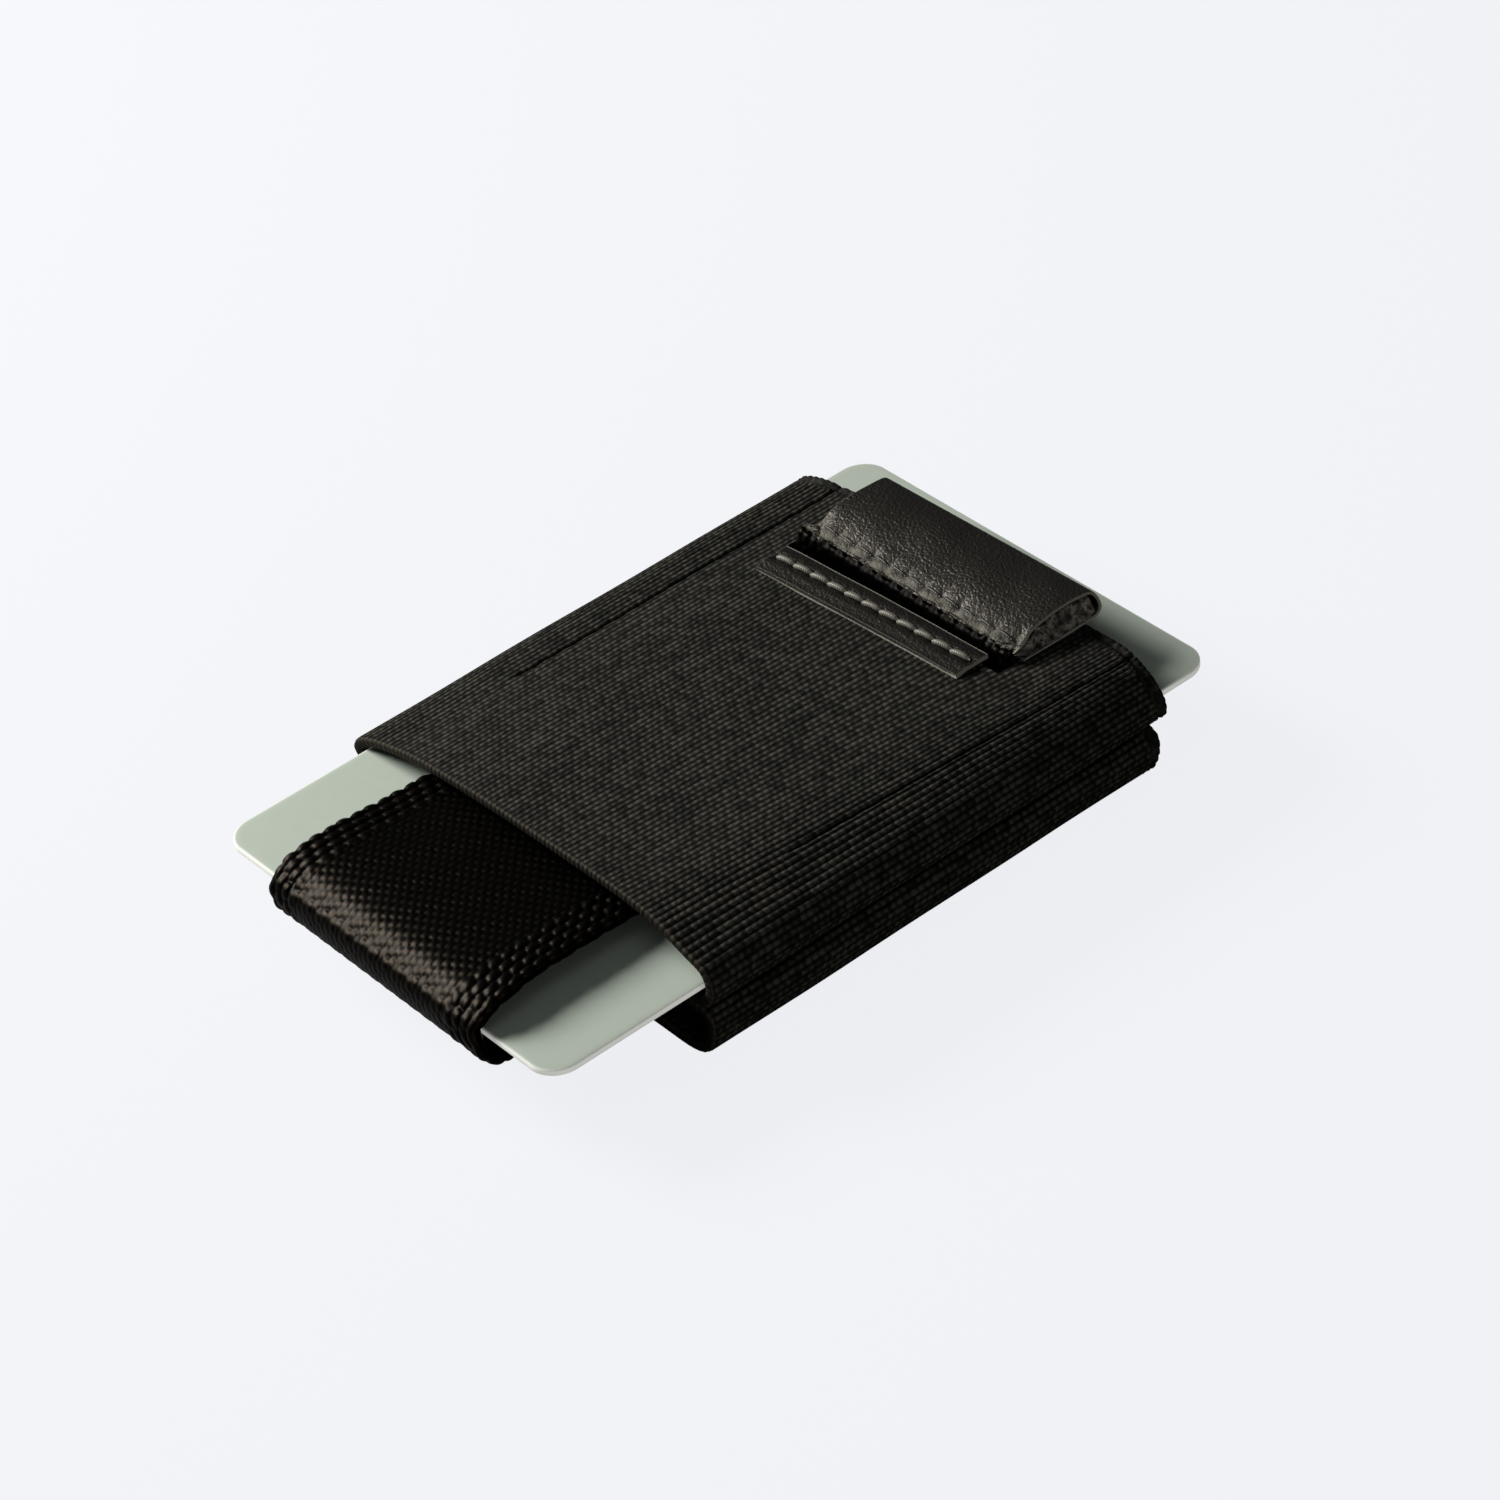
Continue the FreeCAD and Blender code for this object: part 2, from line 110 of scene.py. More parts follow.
# ---------------------------------------------------------------- sizes that a user would change

def length(name, default, description):
    """A length property: the default is given in millimetres and kept in metres."""
    return bpy.props.FloatProperty(
        name=name, description=description, default=default * MM, min=0.0,
        subtype="DISTANCE", unit="LENGTH", precision=5)


def colour(name, default, description):
    """A colour property, in linear light."""
    return bpy.props.FloatVectorProperty(
        name=name, description=description, default=default, min=0.0, max=1.0,
        size=3, subtype="COLOR")


def number(name, default, description):
    """A property that is a plain number."""
    return bpy.props.FloatProperty(
        name=name, description=description, default=default, subtype="NONE", precision=3)


class WalletElastic(bpy.types.PropertyGroup):
    """Sizes and colours of the ribbed elastic."""

    wall: length("Wall", 1.1, "Thickness of the elastic")
    top_pitch: length("Top rib pitch", 0.667, "Distance between ribs on the flat top")
    side_pitch: length("Side rib pitch", 0.88, "Distance between ribs where the elastic bends")
    top_rib: length("Top rib height", 0.035, "Height of the ribs on the flat top")
    side_rib: length("Side rib height", 0.17, "Height of the ribs where the elastic bends")
    grain: length("Grain", 0.92, "Length of one stitch of the knit along a rib")
    # dark and light paint the rib valleys darker and the crowns lighter: painted shade and painted
    # highlight over the knit's own random tone.
    dark: colour("Dark yarn", (0.0012, 0.0012, 0.0009), "Colour between the ribs")
    light: colour("Light yarn", (0.053, 0.053, 0.044), "Colour on top of the ribs")
    warm: colour("Warm yarn", (0.054, 0.051, 0.0405), "Warmer colour on top of the ribs")
    edge: colour("Cut edge", (0.013, 0.011, 0.0065), "Colour of the cut edge at the mouth")
    fray: colour("Edge line", (0.046, 0.039, 0.029), "Colour of the thin lines along the cut edge")


class WalletStrap(bpy.types.PropertyGroup):
    """Sizes and colours of the webbing."""

    thick: length("Thickness", 1.25, "Thickness of the webbing")
    bead: length("Bead", 1.15, "Length of one float of the weave")
    column: length("Column", 0.78, "Width of one warp column")
    relief: length("Relief", 0.16, "Height of the weave in the middle")
    selvedge: length("Selvedge", 4.4, "Width of the coarse woven edge")
    lump: length("Lump pitch", 3.3, "Distance between the lumps of the edge")
    yarn: colour("Yarn", (0.0160, 0.0128, 0.0094), "Colour of the nylon yarn")
    # core is pale as painted light on the strap's end inside the tab, over its lumpy texture.
    core: colour("Core", (0.46, 0.43, 0.37), "Colour of the frayed edges inside the tab")


class WalletLeather(bpy.types.PropertyGroup):
    """Sizes and colours of the leather and its thread."""

    hide: length("Leather", 0.4, "Thickness of the tab's leather")
    patch: length("Patch", 0.6, "Thickness of the patch's leather")
    stitch: length("Stitch pitch", 2.9, "Distance between the stitches in the leather")
    thread: length("Thread", 0.66, "Thickness of the leather's thread")
    face: colour("Grain side", (0.0075, 0.0073, 0.0065), "Colour of the leather's face")
    raw: colour("Raw edge", (0.25, 0.24, 0.205), "Colour of the leather's cut edges")
    waxed: colour("Waxed thread", (0.17, 0.16, 0.135), "Colour of the patch's thread")
    dull: colour("Seam thread", (0.02, 0.019, 0.017), "Colour of every other thread")


class WalletCard(bpy.types.PropertyGroup):
    """Size and colours of the card."""

    corner: length("Corner", 3.18, "Corner radius of the card")
    face: colour("Face", (0.475, 0.545, 0.475), "Colour of the card's face")
    # core also glows on the card's edge: painted light.
    core: colour("Core", (0.82, 0.83, 0.78), "Colour of the card's edge")


class WalletStage(bpy.types.PropertyGroup):
    """Where the camera stands, and the floor."""

    azimuth: number("Azimuth", -34.503, "Degrees that the camera stands round from the -Y side")
    elevation: number("Elevation", 37.82, "Degrees that the camera stands above the horizon")
    roll: number("Roll", -8.695, "Degrees that the camera is rolled")
    distance: length("Distance", 529.8, "Distance from the camera to the middle of the card")
    lens: number("Lens", 126.7, "Focal length in millimetres")
    shift_right: length("Aim right", 3.18, "How far the camera aims to the right of the card's middle")
    shift_down: length("Aim down", 0.36, "How far the camera aims below the card's middle")
    glow: number("Glow", 0.93, "Share of the floor's brightness that no shadow takes away")
    bounce: number("Bounce", 0.2, "Share of its light that the floor throws back on the wallet")
    floor: colour("Floor", (0.90, 0.91, 0.945), "Colour of the floor")


GROUPS = {
    "wallet_elastic": WalletElastic,
    "wallet_strap": WalletStrap,
    "wallet_leather": WalletLeather,
    "wallet_card": WalletCard,
    "wallet_stage": WalletStage,
}


class Millimetres:
    """Reads a property group's lengths in millimetres."""

    def __init__(self, group):
        self.group = group

    def __getattr__(self, name):
        return getattr(self.group, name) / MM


# ---------------------------------------------------------------- curves and grids

def smooth(low, high, value):
    """0 below low, 1 above high, and 3t^2 - 2t^3 between them."""
    t = np.clip((value - low) / (high - low), 0, 1)
    return t * t * (3 - 2 * t)


def between(first, second, share):
    """first where share is 0, second where it is 1, and a straight blend between."""
    return first * (1 - share) + second * share


def hump(value, middle, width):
    """1 at the middle, falling off on both sides as exp(-t^2), with t counted in widths."""
    return np.exp(-((value - middle) / width) ** 2)


def arches(steps, power=1.0):
    """A row of arches, one to a whole step: |sin(pi t)| raised to a power."""
    return np.abs(np.sin(math.pi * steps)) ** power


def bell(part):
    """A row of round lumps: a half circle over each whole step."""
    t = part - np.floor(part)
    return np.sqrt(np.clip(1 - (2 * t - 1) ** 2, 0, 1))


def ripple(first, second):
    """Smooth unevenness of about -1 to 1: three crossed sine waves added up."""
    return (
        np.sin(1.3 * first + 2.1 * second + 0.5)
        + 0.7 * np.sin(2.9 * first - 1.7 * second + 1.9)
        + 0.5 * np.sin(-1.1 * first + 4.3 * second + 4.1)
    ) / 2.2


def together(*parts):
    """Arrays stacked along a new last axis, each widened to the shape they share."""
    return np.stack(np.broadcast_arrays(*parts), axis=-1)


def through(points, closed, values):
    """Catmull-Rom curve through the points, read at values counted in points."""
    points = np.asarray(points, float)
    count = len(points)
    whole = np.floor(values).astype(int)
    if not closed:
        whole = np.clip(whole, 0, count - 2)
    part = (values - whole)[:, None]

    def at(step):
        index = whole + step
        return points[index % count] if closed else points[np.clip(index, 0, count - 1)]

    before, start, end, after = at(-1), at(0), at(1), at(2)
    return 0.5 * (
        2 * start
        + (end - before) * part
        + (2 * before - 5 * start + 4 * end - after) * part ** 2
        + (3 * start - before - 3 * end + after) * part ** 3
    )


def spread(points, closed, density, count):
    """Values along a curve through points, spaced by arc length times density(points)."""
    spans = len(points) if closed else len(points) - 1
    dense = np.linspace(0, spans, 4001)
    curve = through(points, closed, dense)
    steps = np.linalg.norm(np.diff(curve, axis=0), axis=1)
    middles = (curve[1:] + curve[:-1]) / 2
    weight = np.concatenate([[0], np.cumsum(steps * density(middles))])
    wanted = np.linspace(0, weight[-1], count + 1 if closed else count)
    return np.interp(wanted[:-1] if closed else wanted, weight, dense)


def evenly(middles):
    """The density that spaces stations evenly."""
    return np.ones(len(middles))


def lengths(curve):
    """Arc length from the first point of a curve to each of its points."""
    steps = np.linalg.norm(np.diff(curve, axis=0), axis=1)
    return np.concatenate([[0], np.cumsum(steps)])


def along_line(points, density, count):
    """Centre line through the points with its stations spaced by density, and its lengths."""
    centre = through(points, False, spread(points, False, density, count))
    return centre, lengths(centre)


def side_normals(curve, closed):
    """Unit vectors to the right of a plane curve, from its central differences."""
    if closed:
        along = np.roll(curve, -1, axis=0) - np.roll(curve, 1, axis=0)
    else:
        along = np.gradient(curve, axis=0)
    along /= np.linalg.norm(along, axis=1)[:, None]
    return together(along[:, 1], -along[:, 0])


def outward(curve, closed):
    """Unit vectors out of a plane outline, whichever way round it runs."""
    first, second = curve.T
    area = np.sum(first * np.roll(second, -1) - np.roll(first, -1) * second)
    return side_normals(curve, closed) * np.sign(area)


def grid_faces(rows, columns, close_rows, close_columns):
    """Quads between neighbours of a rows by columns grid, wrapping round where it is closed."""
    row = np.arange(rows if close_rows else rows - 1)[:, None]
    column = np.arange(columns if close_columns else columns - 1)
    next_row, next_column = (row + 1) % rows, (column + 1) % columns
    return together(
        row * columns + column, next_row * columns + column,
        next_row * columns + next_column, row * columns + next_column)


def signed_volume(points, faces):
    """Volume inside quads that face outwards: a sixth of each corner triple's box product."""
    total = 0.0
    for corners in ((0, 1, 2), (0, 2, 3)):
        first, second, third = [points[faces[:, index]] for index in corners]
        total += np.sum(first * np.cross(second, third))
    return total / 6


def add_object(name, data):
    """A new object that holds the data, linked to the scene."""
    made = bpy.data.objects.new(name, data)
    bpy.context.scene.collection.objects.link(made)
    return made


def mesh_piece(name, points, faces, caps, notes):
    """A mesh object from points in millimetres, quads, and caps that are rings of points.

    notes is an array of three numbers for each point, kept as the attribute "cloth".
    """
    points = np.asarray(points, float).reshape(-1, 3)
    faces = np.asarray(faces).reshape(-1, 4)
    polygons = faces.tolist() + [list(map(int, ring)) for ring in caps]
    if signed_volume(points - points.mean(axis=0), faces) < 0:
        polygons = [polygon[::-1] for polygon in polygons]
    mesh = bpy.data.meshes.new(name)
    mesh.from_pydata((points * MM).tolist(), [], polygons)
    mesh.update()
    mesh.shade_smooth()
    attribute = mesh.attributes.new("cloth", "FLOAT_VECTOR", "POINT")
    attribute.data.foreach_set("vector", np.asarray(notes, np.float32).ravel())
    return add_object(name, mesh)


def dress(piece, material, replaced, body=None):
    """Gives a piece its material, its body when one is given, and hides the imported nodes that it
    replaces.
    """
    piece.data.materials.append(material)
    if body is not None:
        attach(piece, body)
    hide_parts(*replaced)


def paint_node(node, material):
    """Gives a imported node's object another material, and leaves its mesh alone."""
    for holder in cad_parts[node].material_slots:
        holder.link = "OBJECT"
        holder.material = material


# ---------------------------------------------------------------- shader expressions

class Signal:
    """A shader socket that takes part in sums and products as a number does."""

    def __init__(self, nodes, socket):
        self.nodes = nodes
        self.socket = socket

    def maths(self, operation, first, second=0.0):
        """The result of one maths node."""
        return self.nodes.node("ShaderNodeMath", {"operation": operation}, {0: first, 1: second})

    def __abs__(self):
        return self.maths("ABSOLUTE", self)

    def floor(self):
        """The whole number under it."""
        return self.maths("FLOOR", self)

    def sine(self):
        """The sine of it, in radians."""
        return self.maths("SINE", self)

    def wave(self):
        """The sine brought into the range of 0 to 1."""
        return self.sine() * 0.5 + 0.5

    def clamp(self):
        """Held between 0 and 1."""
        return self.nodes.node("ShaderNodeClamp", {}, {0: self})


def joining(operation, swapped):
    """A method that joins a signal to another value, which comes first when swapped."""

    def join(self, other):
        first, second = (other, self) if swapped else (self, other)
        return self.maths(operation, first, second)

    return join


for symbol, operation in (
        ("add", "ADD"), ("sub", "SUBTRACT"), ("mul", "MULTIPLY"), ("truediv", "DIVIDE"),
        ("pow", "POWER")):
    setattr(Signal, f"__{symbol}__", joining(operation, False))
    setattr(Signal, f"__r{symbol}__", joining(operation, True))


class Nodes:
    """Adds nodes to a tree and hands on their outputs as signals."""

    def __init__(self, tree):
        self.tree = tree

    def node(self, kind, settings, inputs, output=0):
        """Adds a node, sets it up, feeds its sockets and returns one of its outputs."""
        made = self.tree.nodes.new(kind)
        for setting, value in settings.items():
            setattr(made, setting, value)
        for socket, value in inputs.items():
            if isinstance(value, Signal):
                self.tree.links.new(value.socket, made.inputs[socket])
            else:
                made.inputs[socket].default_value = value
        return Signal(self, made.outputs[output])

    def mix_shaders(self, share, first, second):
        """Shader between first and second."""
        return self.node("ShaderNodeMixShader", {}, {0: share, 1: first, 2: second})

    def show(self, output, unseen, seen):
        """Sends one shader to the camera's own rays, and another to all the other rays."""
        camera = self.node("ShaderNodeLightPath", {}, {}, "Is Camera Ray")
        both = self.mix_shaders(camera, unseen, seen)
        self.tree.links.new(both.socket, self.tree.nodes[output].inputs[0])


class Finish(Nodes):
    """One material, built around a Principled shader."""

    def __init__(self, name, **constants):
        self.material = bpy.data.materials.new(name)
        self.material.use_nodes = True
        super().__init__(self.material.node_tree)
        self.shader = self.tree.nodes["Principled BSDF"]
        for socket, value in constants.items():
            self.shader.inputs[socket.replace("_", " ")].default_value = value

    def place(self):
        """Object coordinates."""
        return self.node("ShaderNodeTexCoord", {}, {}, "Object")

    def split(self, vector):
        """The three numbers of a vector."""
        return [self.node("ShaderNodeSeparateXYZ", {}, {0: vector}, axis) for axis in "XYZ"]

    def cloth(self):
        """The three numbers of the piece's own attribute."""
        return self.split(
            self.node("ShaderNodeAttribute", {"attribute_name": "cloth"}, {}, "Vector"))

    def noise(self, where, scale, detail=2.0):
        """Soft unevenness of 0 to 1."""
        return self.node("ShaderNodeTexNoise", {}, {
            "Vector": where, "Scale": scale, "Detail": detail})

    def cells(self, where, scale, feature):
        """Distance in cells of random shape."""
        return self.node("ShaderNodeTexVoronoi", {"feature": feature}, {
            "Vector": where, "Scale": scale}, "Distance")

    def chance(self, first, second):
        """An even random number for each whole-numbered cell."""
        where = self.node("ShaderNodeCombineXYZ", {}, {0: first.floor(), 1: second.floor()})
        return self.node("ShaderNodeTexWhiteNoise", {"noise_dimensions": "2D"}, {
            "Vector": where}, "Value")

    def mix(self, share, first, second):
        """Colour between first and second."""
        return self.node("ShaderNodeMix", {"data_type": "RGBA"}, {
            "Factor": share, 6: first, 7: second}, 2)

    def bump(self, height, distance, strength):
        """Shading normal of a surface raised by height times a distance in millimetres."""
        return self.node("ShaderNodeBump", {}, {
            "Height": height, "Distance": distance * MM, "Strength": strength}, "Normal")

    def feed(self, **links):
        """Links expressions to the shader's own sockets, and returns the material."""
        for socket, value in links.items():
            self.tree.links.new(value.socket, self.shader.inputs[socket.replace("_", " ")])
        return self.material


def rgba(tint, scale=1.0):
    """A colour's three channels times scale, and an alpha of 1."""
    return (*[channel * scale for channel in tint], 1.0)


def finish_elastic(name, group):
    """Ribbed elastic: short stitches in a row along each rib, uneven in tone, with painted highlight
    and shade on the ribs.
    """
    cloth = Finish(name, Specular_IOR_Level=0.15)
    along, ribs, edge = cloth.cloth()
    where = cloth.place()
    hem = (0.0 - edge).clamp()
    slip = cloth.noise(where, 160.0, 1.0) * 3.0
    turn = (ribs * math.pi).sine()
    grain = along / (group.grain / MM) + 0.17 * turn + 0.5 * slip
    ribbed = abs(turn) * (0.35 + 0.65 * (grain * math.tau).wave())
    lumps = cloth.noise(where, 1300.0)
    height = ribbed * (1.0 - hem) + lumps * lumps * 1.1 * hem
    broad, fibres = cloth.noise(where, 90.0), cloth.noise(where, 3200.0)
    shade, streak = cloth.chance(grain, ribs), cloth.chance(grain * 0.23, ribs)
    uneven = (0.25 + 1.2 * shade) * (0.7 + 0.6 * streak)
    patchy = (3.0 * cloth.noise(where, 900.0, 3.0) - 0.7).clamp()
    fuzz = patchy * (2.6 * fibres - 0.35).clamp()
    # lift follows the rib height, so the crowns are painted lighter (painted highlight) and the
    # valleys darker (painted shade), mixed with the yarn's random tone.
    lift = (1.2 * height ** 1.5 * uneven * fuzz * (0.7 + 0.6 * broad)).clamp()
    yarn = cloth.mix(broad, rgba(group.light), rgba(group.warm))
    knit = cloth.mix(lift * (2.0 - lift), rgba(group.dark), yarn)
    cut = cloth.mix(fibres, rgba(group.edge, 0.35), rgba(group.edge))
    banded = cloth.mix(edge.clamp(), knit, cut)
    lined = cloth.mix((edge - 1.0).clamp() * (0.4 + 0.9 * fibres), banded, rgba(group.fray))
    return cloth.feed(
        Base_Color=lined, Roughness=0.95 - 0.3 * height, Normal=cloth.bump(height, 0.13, 0.9))


def finish_webbing(name, group):
    """Nylon webbing: fine filaments on each float, satin on top, slightly duller and much darker in
    the gaps, the darkness being painted shade.
    """
    cloth = Finish(name, Specular_IOR_Level=0.3, Metallic=1.0)
    along, across, lift = cloth.cloth()
    filaments = (across * 42.0 + along * 9.0).wave() * lift
    patchy = cloth.noise(cloth.place(), 900.0)
    # tone follows the weave's height note: painted shade in the gaps between floats and in the slot,
    # where the note is lowered; patchy adds random tone.
    tone = (lift ** 1.6 * (0.55 + 0.8 * patchy)).clamp()
    return cloth.feed(
        Base_Color=cloth.mix(tone, rgba(group.yarn, 0.04), rgba(group.yarn)),
        Roughness=0.36 - 0.04 * tone,
        Normal=cloth.bump(filaments, 0.03, 0.5))


def finish_core(name, tint):
    """Frayed edges of webbing and hide: dark clumps under pale fuzz, whose pale tint is painted light.
    """
    core = Finish(name, Specular_IOR_Level=0.1, Roughness=0.95)
    where = core.place()
    clumps = core.cells(where, 1150.0, "SMOOTH_F1")
    fuzz = core.noise(where, 2400.0, 3.0)
    # tone mixes in the pale tint, which is painted light on the strap's end; the clumps and fuzz are
    # the lumpy texture.
    tone = ((1.1 - clumps * 1.6) * (fuzz * 3.4 - 1.0)).clamp()
    return core.feed(
        Base_Color=core.mix(tone, rgba(tint, 0.03), rgba(tint)), Normal=core.bump(tone, 0.4, 1.0))


def finish_leather(name, group, shine, depth):
    """Pebbled leather: cells with worn tops, and a paler fibrous cut edge."""
    hide = Finish(name, Specular_IOR_Level=shine, Specular_Tint=(1.0, 0.93, 0.8, 1.0))
    edge = hide.cloth()[2]
    where = hide.place()
    warp = hide.noise(where, 1500.0, 3.0)
    pebbles = hide.cells(where, 3000.0, "SMOOTH_F1")
    creases = hide.cells(where, 1900.0, "DISTANCE_TO_EDGE")
    grain = (1.0 - pebbles) * 0.5 + (creases * 4.0).clamp() * 0.25 + warp * 0.5
    wear = hide.noise(where, 120.0, 3.0)
    worn = (grain * 0.5 + wear * 0.4 - 0.25).clamp()
    face = hide.mix(worn, rgba(group.face, 0.7 * depth), rgba(group.face, 1.7 * depth))
    return hide.feed(
        Base_Color=hide.mix(edge.clamp(), face, rgba(group.raw)),
        Roughness=(0.48 - 0.08 * grain + 0.06 * wear + 0.35 * edge).clamp(),
        Normal=hide.bump(grain, 0.03 + 0.1 * depth, 0.9))


def finish_thread(name, tint):
    """Waxed thread with a fine twist."""
    thread = Finish(name, Specular_IOR_Level=0.5)
    along, around = thread.cloth()[:2]
    twist = (along * 22.0 + around * math.tau).wave()
    return thread.feed(
        Base_Color=thread.mix(twist, rgba(tint, 0.7), rgba(tint)),
        Roughness=0.5 - 0.1 * twist,
        Normal=thread.bump(twist, 0.03, 0.5))


def finish_card(name, group):
    """Blank plastic card: a faint mottle on the face and a pale core at the edge, which also glows as
    painted light.
    """
    # The edge's core glows at this strength: painted light on a side that faces away from the lamps.
    card = Finish(name, Specular_IOR_Level=0.45, Emission_Strength=0.38)
    edge = card.cloth()[2].clamp()
    mottle = card.noise(card.place(), 700.0)
    broad = card.noise(card.place(), 38.0, 1.0)
    tone = (0.3 + 0.25 * mottle + 0.5 * broad).clamp()
    face = card.mix(tone, rgba(group.face, 0.93), rgba(group.face, 1.06))
    return card.feed(
        Base_Color=card.mix(edge, face, rgba(group.core)),
        # Painted light: the pale core glows on the edge.
        Emission_Color=card.mix(edge, (0.0, 0.0, 0.0, 1.0), rgba(group.core)),
        Roughness=0.42 + 0.1 * mottle,
        Normal=card.bump(mottle, 0.01, 0.25))


def finish_lining(name):
    """Plain woven lining cloth."""
    cloth = Finish(name, Specular_IOR_Level=0.2)
    x, y = [(place * 18000.0).sine() for place in cloth.split(cloth.place())[:2]]
    weave = x * y * 0.5 + 0.5
    tone = cloth.mix(weave, (0.004, 0.004, 0.004, 1.0), (0.014, 0.014, 0.013, 1.0))
    return cloth.feed(Base_Color=tone, Normal=cloth.bump(weave, 0.04, 0.4))


# ---------------------------------------------------------------- elastic tubes

# Outline of the card sleeve across the wallet, from the middle of its floor round the near
# side (-Y), over the top and down the other side.  Each point is a share of the half width and
# a share of the height from the floor to the crest.
MOUTH_OUTLINE = [
    (0.0, 0.0), (-0.55, 0.0), (-0.74, 0.06), (-0.905, 0.08), (-0.97, 0.19), (-0.998, 0.42),
    (-0.968, 0.67), (-0.868, 0.80), (-0.725, 0.95), (-0.535, 1.015), (-0.22, 1.01), (0.11, 0.985),
    (0.515, 0.90), (0.78, 0.745), (0.94, 0.56), (1.0, 0.36), (0.975, 0.21), (0.91, 0.12),
    (0.74, 0.07), (0.55, 0.0),
]
FAR_OUTLINE = [
    (0.0, 0.0), (-0.55, 0.0), (-0.74, 0.08), (-0.91, 0.12), (-0.968, 0.22), (-0.974, 0.42),
    (-0.945, 0.64), (-0.895, 0.845), (-0.81, 0.985), (-0.648, 1.015), (-0.276, 1.015), (0.11, 1.0),
    (0.515, 0.975), (0.78, 0.90), (0.925, 0.74), (0.985, 0.48), (0.97, 0.26), (0.905, 0.135),
    (0.74, 0.08), (0.55, 0.0),
]
# Outline of the cash band from one turned-in edge round the underside to the other, as shares
# of the half width and of the height.
CASH_OUTLINE = [
    (-0.75, 0.955), (-0.89, 0.975), (-0.968, 0.93), (-1.0, 0.78), (-0.99, 0.48), (-0.95, 0.2),
    (-0.86, 0.035), (-0.65, 0.018), (0.0, 0.018), (0.65, 0.018), (0.86, 0.035), (0.95, 0.2),
    (0.99, 0.48), (1.0, 0.78), (0.968, 0.93), (0.89, 0.975), (0.75, 0.955),
]


def sleeve_outlines():
    """The card sleeve's outline in millimetres at the mouth and at the far rim."""
    low = SLEEVE_LOW[2]
    return [
        np.array(outline) * (SLEEVE_HIGH[1], crest - low) + (0, low)
        for outline, crest in ((MOUTH_OUTLINE, CREST_MOUTH), (FAR_OUTLINE, CREST_FAR))]


def sleeve_share(x):
    """How far along the sleeve a place lies, from 0 at the mouth to 1 at the far rim."""
    return np.clip((x - SLEEVE_LOW[0]) / (SLEEVE_HIGH[0] - SLEEVE_LOW[0]), 0, 1)


def sleeve_top(x, y):
    """Height of the sleeve's top at places x, y, read off the blended outline."""
    values = np.linspace(5, 15, 600)
    curves = [through(outline, True, values) for outline in sleeve_outlines()]
    near, far = [np.interp(y, curve[:, 0], curve[:, 1]) for curve in curves]
    return between(near, far, sleeve_share(x))


def wall_stations(start, end, wall, rows, must):
    """Places along X and depths in the wall, all the way round a tube's cut length.

    They go along the outside, round the far rim in a half circle, back along the inside and
    round the near rim, which is cut squarer: sine and cosine are raised to powers under 1.
    Rows lie closer together at the far hem, and must holds places that both the outside and
    the inside have a row at.
    """
    radius = wall / 2
    inner_start, inner_end = start + radius, end - radius
    bunch = np.linspace(0, 1, rows - 11)
    bunch = bunch - 0.06 * np.sin(math.tau * bunch)
    middle = inner_start + (inner_end - 1.7 - inner_start) * bunch
    outside = np.concatenate([middle, np.linspace(inner_end - 1.55, inner_end, 11)])
    inside = np.linspace(inner_end, inner_start, 8)
    if must:
        clear = np.min(np.abs(outside[:, None] - np.array(must)), axis=1) > 0.6
        clear &= ~((outside > min(must)) & (outside < max(must)))
        outside = np.sort(np.concatenate([outside[clear], must]))
        clear = ~((inside > min(must)) & (inside < max(must)))
        inside = np.sort(np.concatenate([inside[clear], must]))[::-1]
    turn = np.linspace(0, math.pi, 8)[1:-1]
    far_x, far_depth = inner_end + radius * np.sin(turn), radius - radius * np.cos(turn)
    level = np.sign(np.cos(turn)) * np.abs(np.cos(turn)) ** 0.7
    near_x, near_depth = inner_start - radius * np.sin(turn) ** 0.5, radius + radius * level
    places = np.concatenate([outside, far_x, inside, near_x])
    depths = np.concatenate(
        [np.zeros(len(outside)), far_depth, np.full(len(inside), wall), near_depth])
    return places, depths, len(outside)


def rib_relief(elastic, x, around, side, seams):
    """Rib count and rib height over the cloth.

    The count grows with the distance round the tube divided by the pitch, and the height is
    the root of the cosine of the count's phase, so that valleys are sharp and crowns round.
    side is 1 where the elastic bends and 0 on the flat top. Between the seams the count is
    stretched until each seam lies in a valley.
    """
    ribs = np.cumsum(np.diff(around, prepend=around[0]) / between(
        elastic.top_pitch, elastic.side_pitch, side))
    if seams:
        first, last = np.sort(ribs[seams])
        stretch = (np.round(last) - np.round(first)) / (last - first)
        ribs = np.round(first) + (ribs - first) * stretch
    count = ribs + 0.10 * ripple(x[:, None] / 7, around / 9)
    return count, between(elastic.top_rib, elastic.side_rib, side) * (arches(count, 0.6) - 0.6)


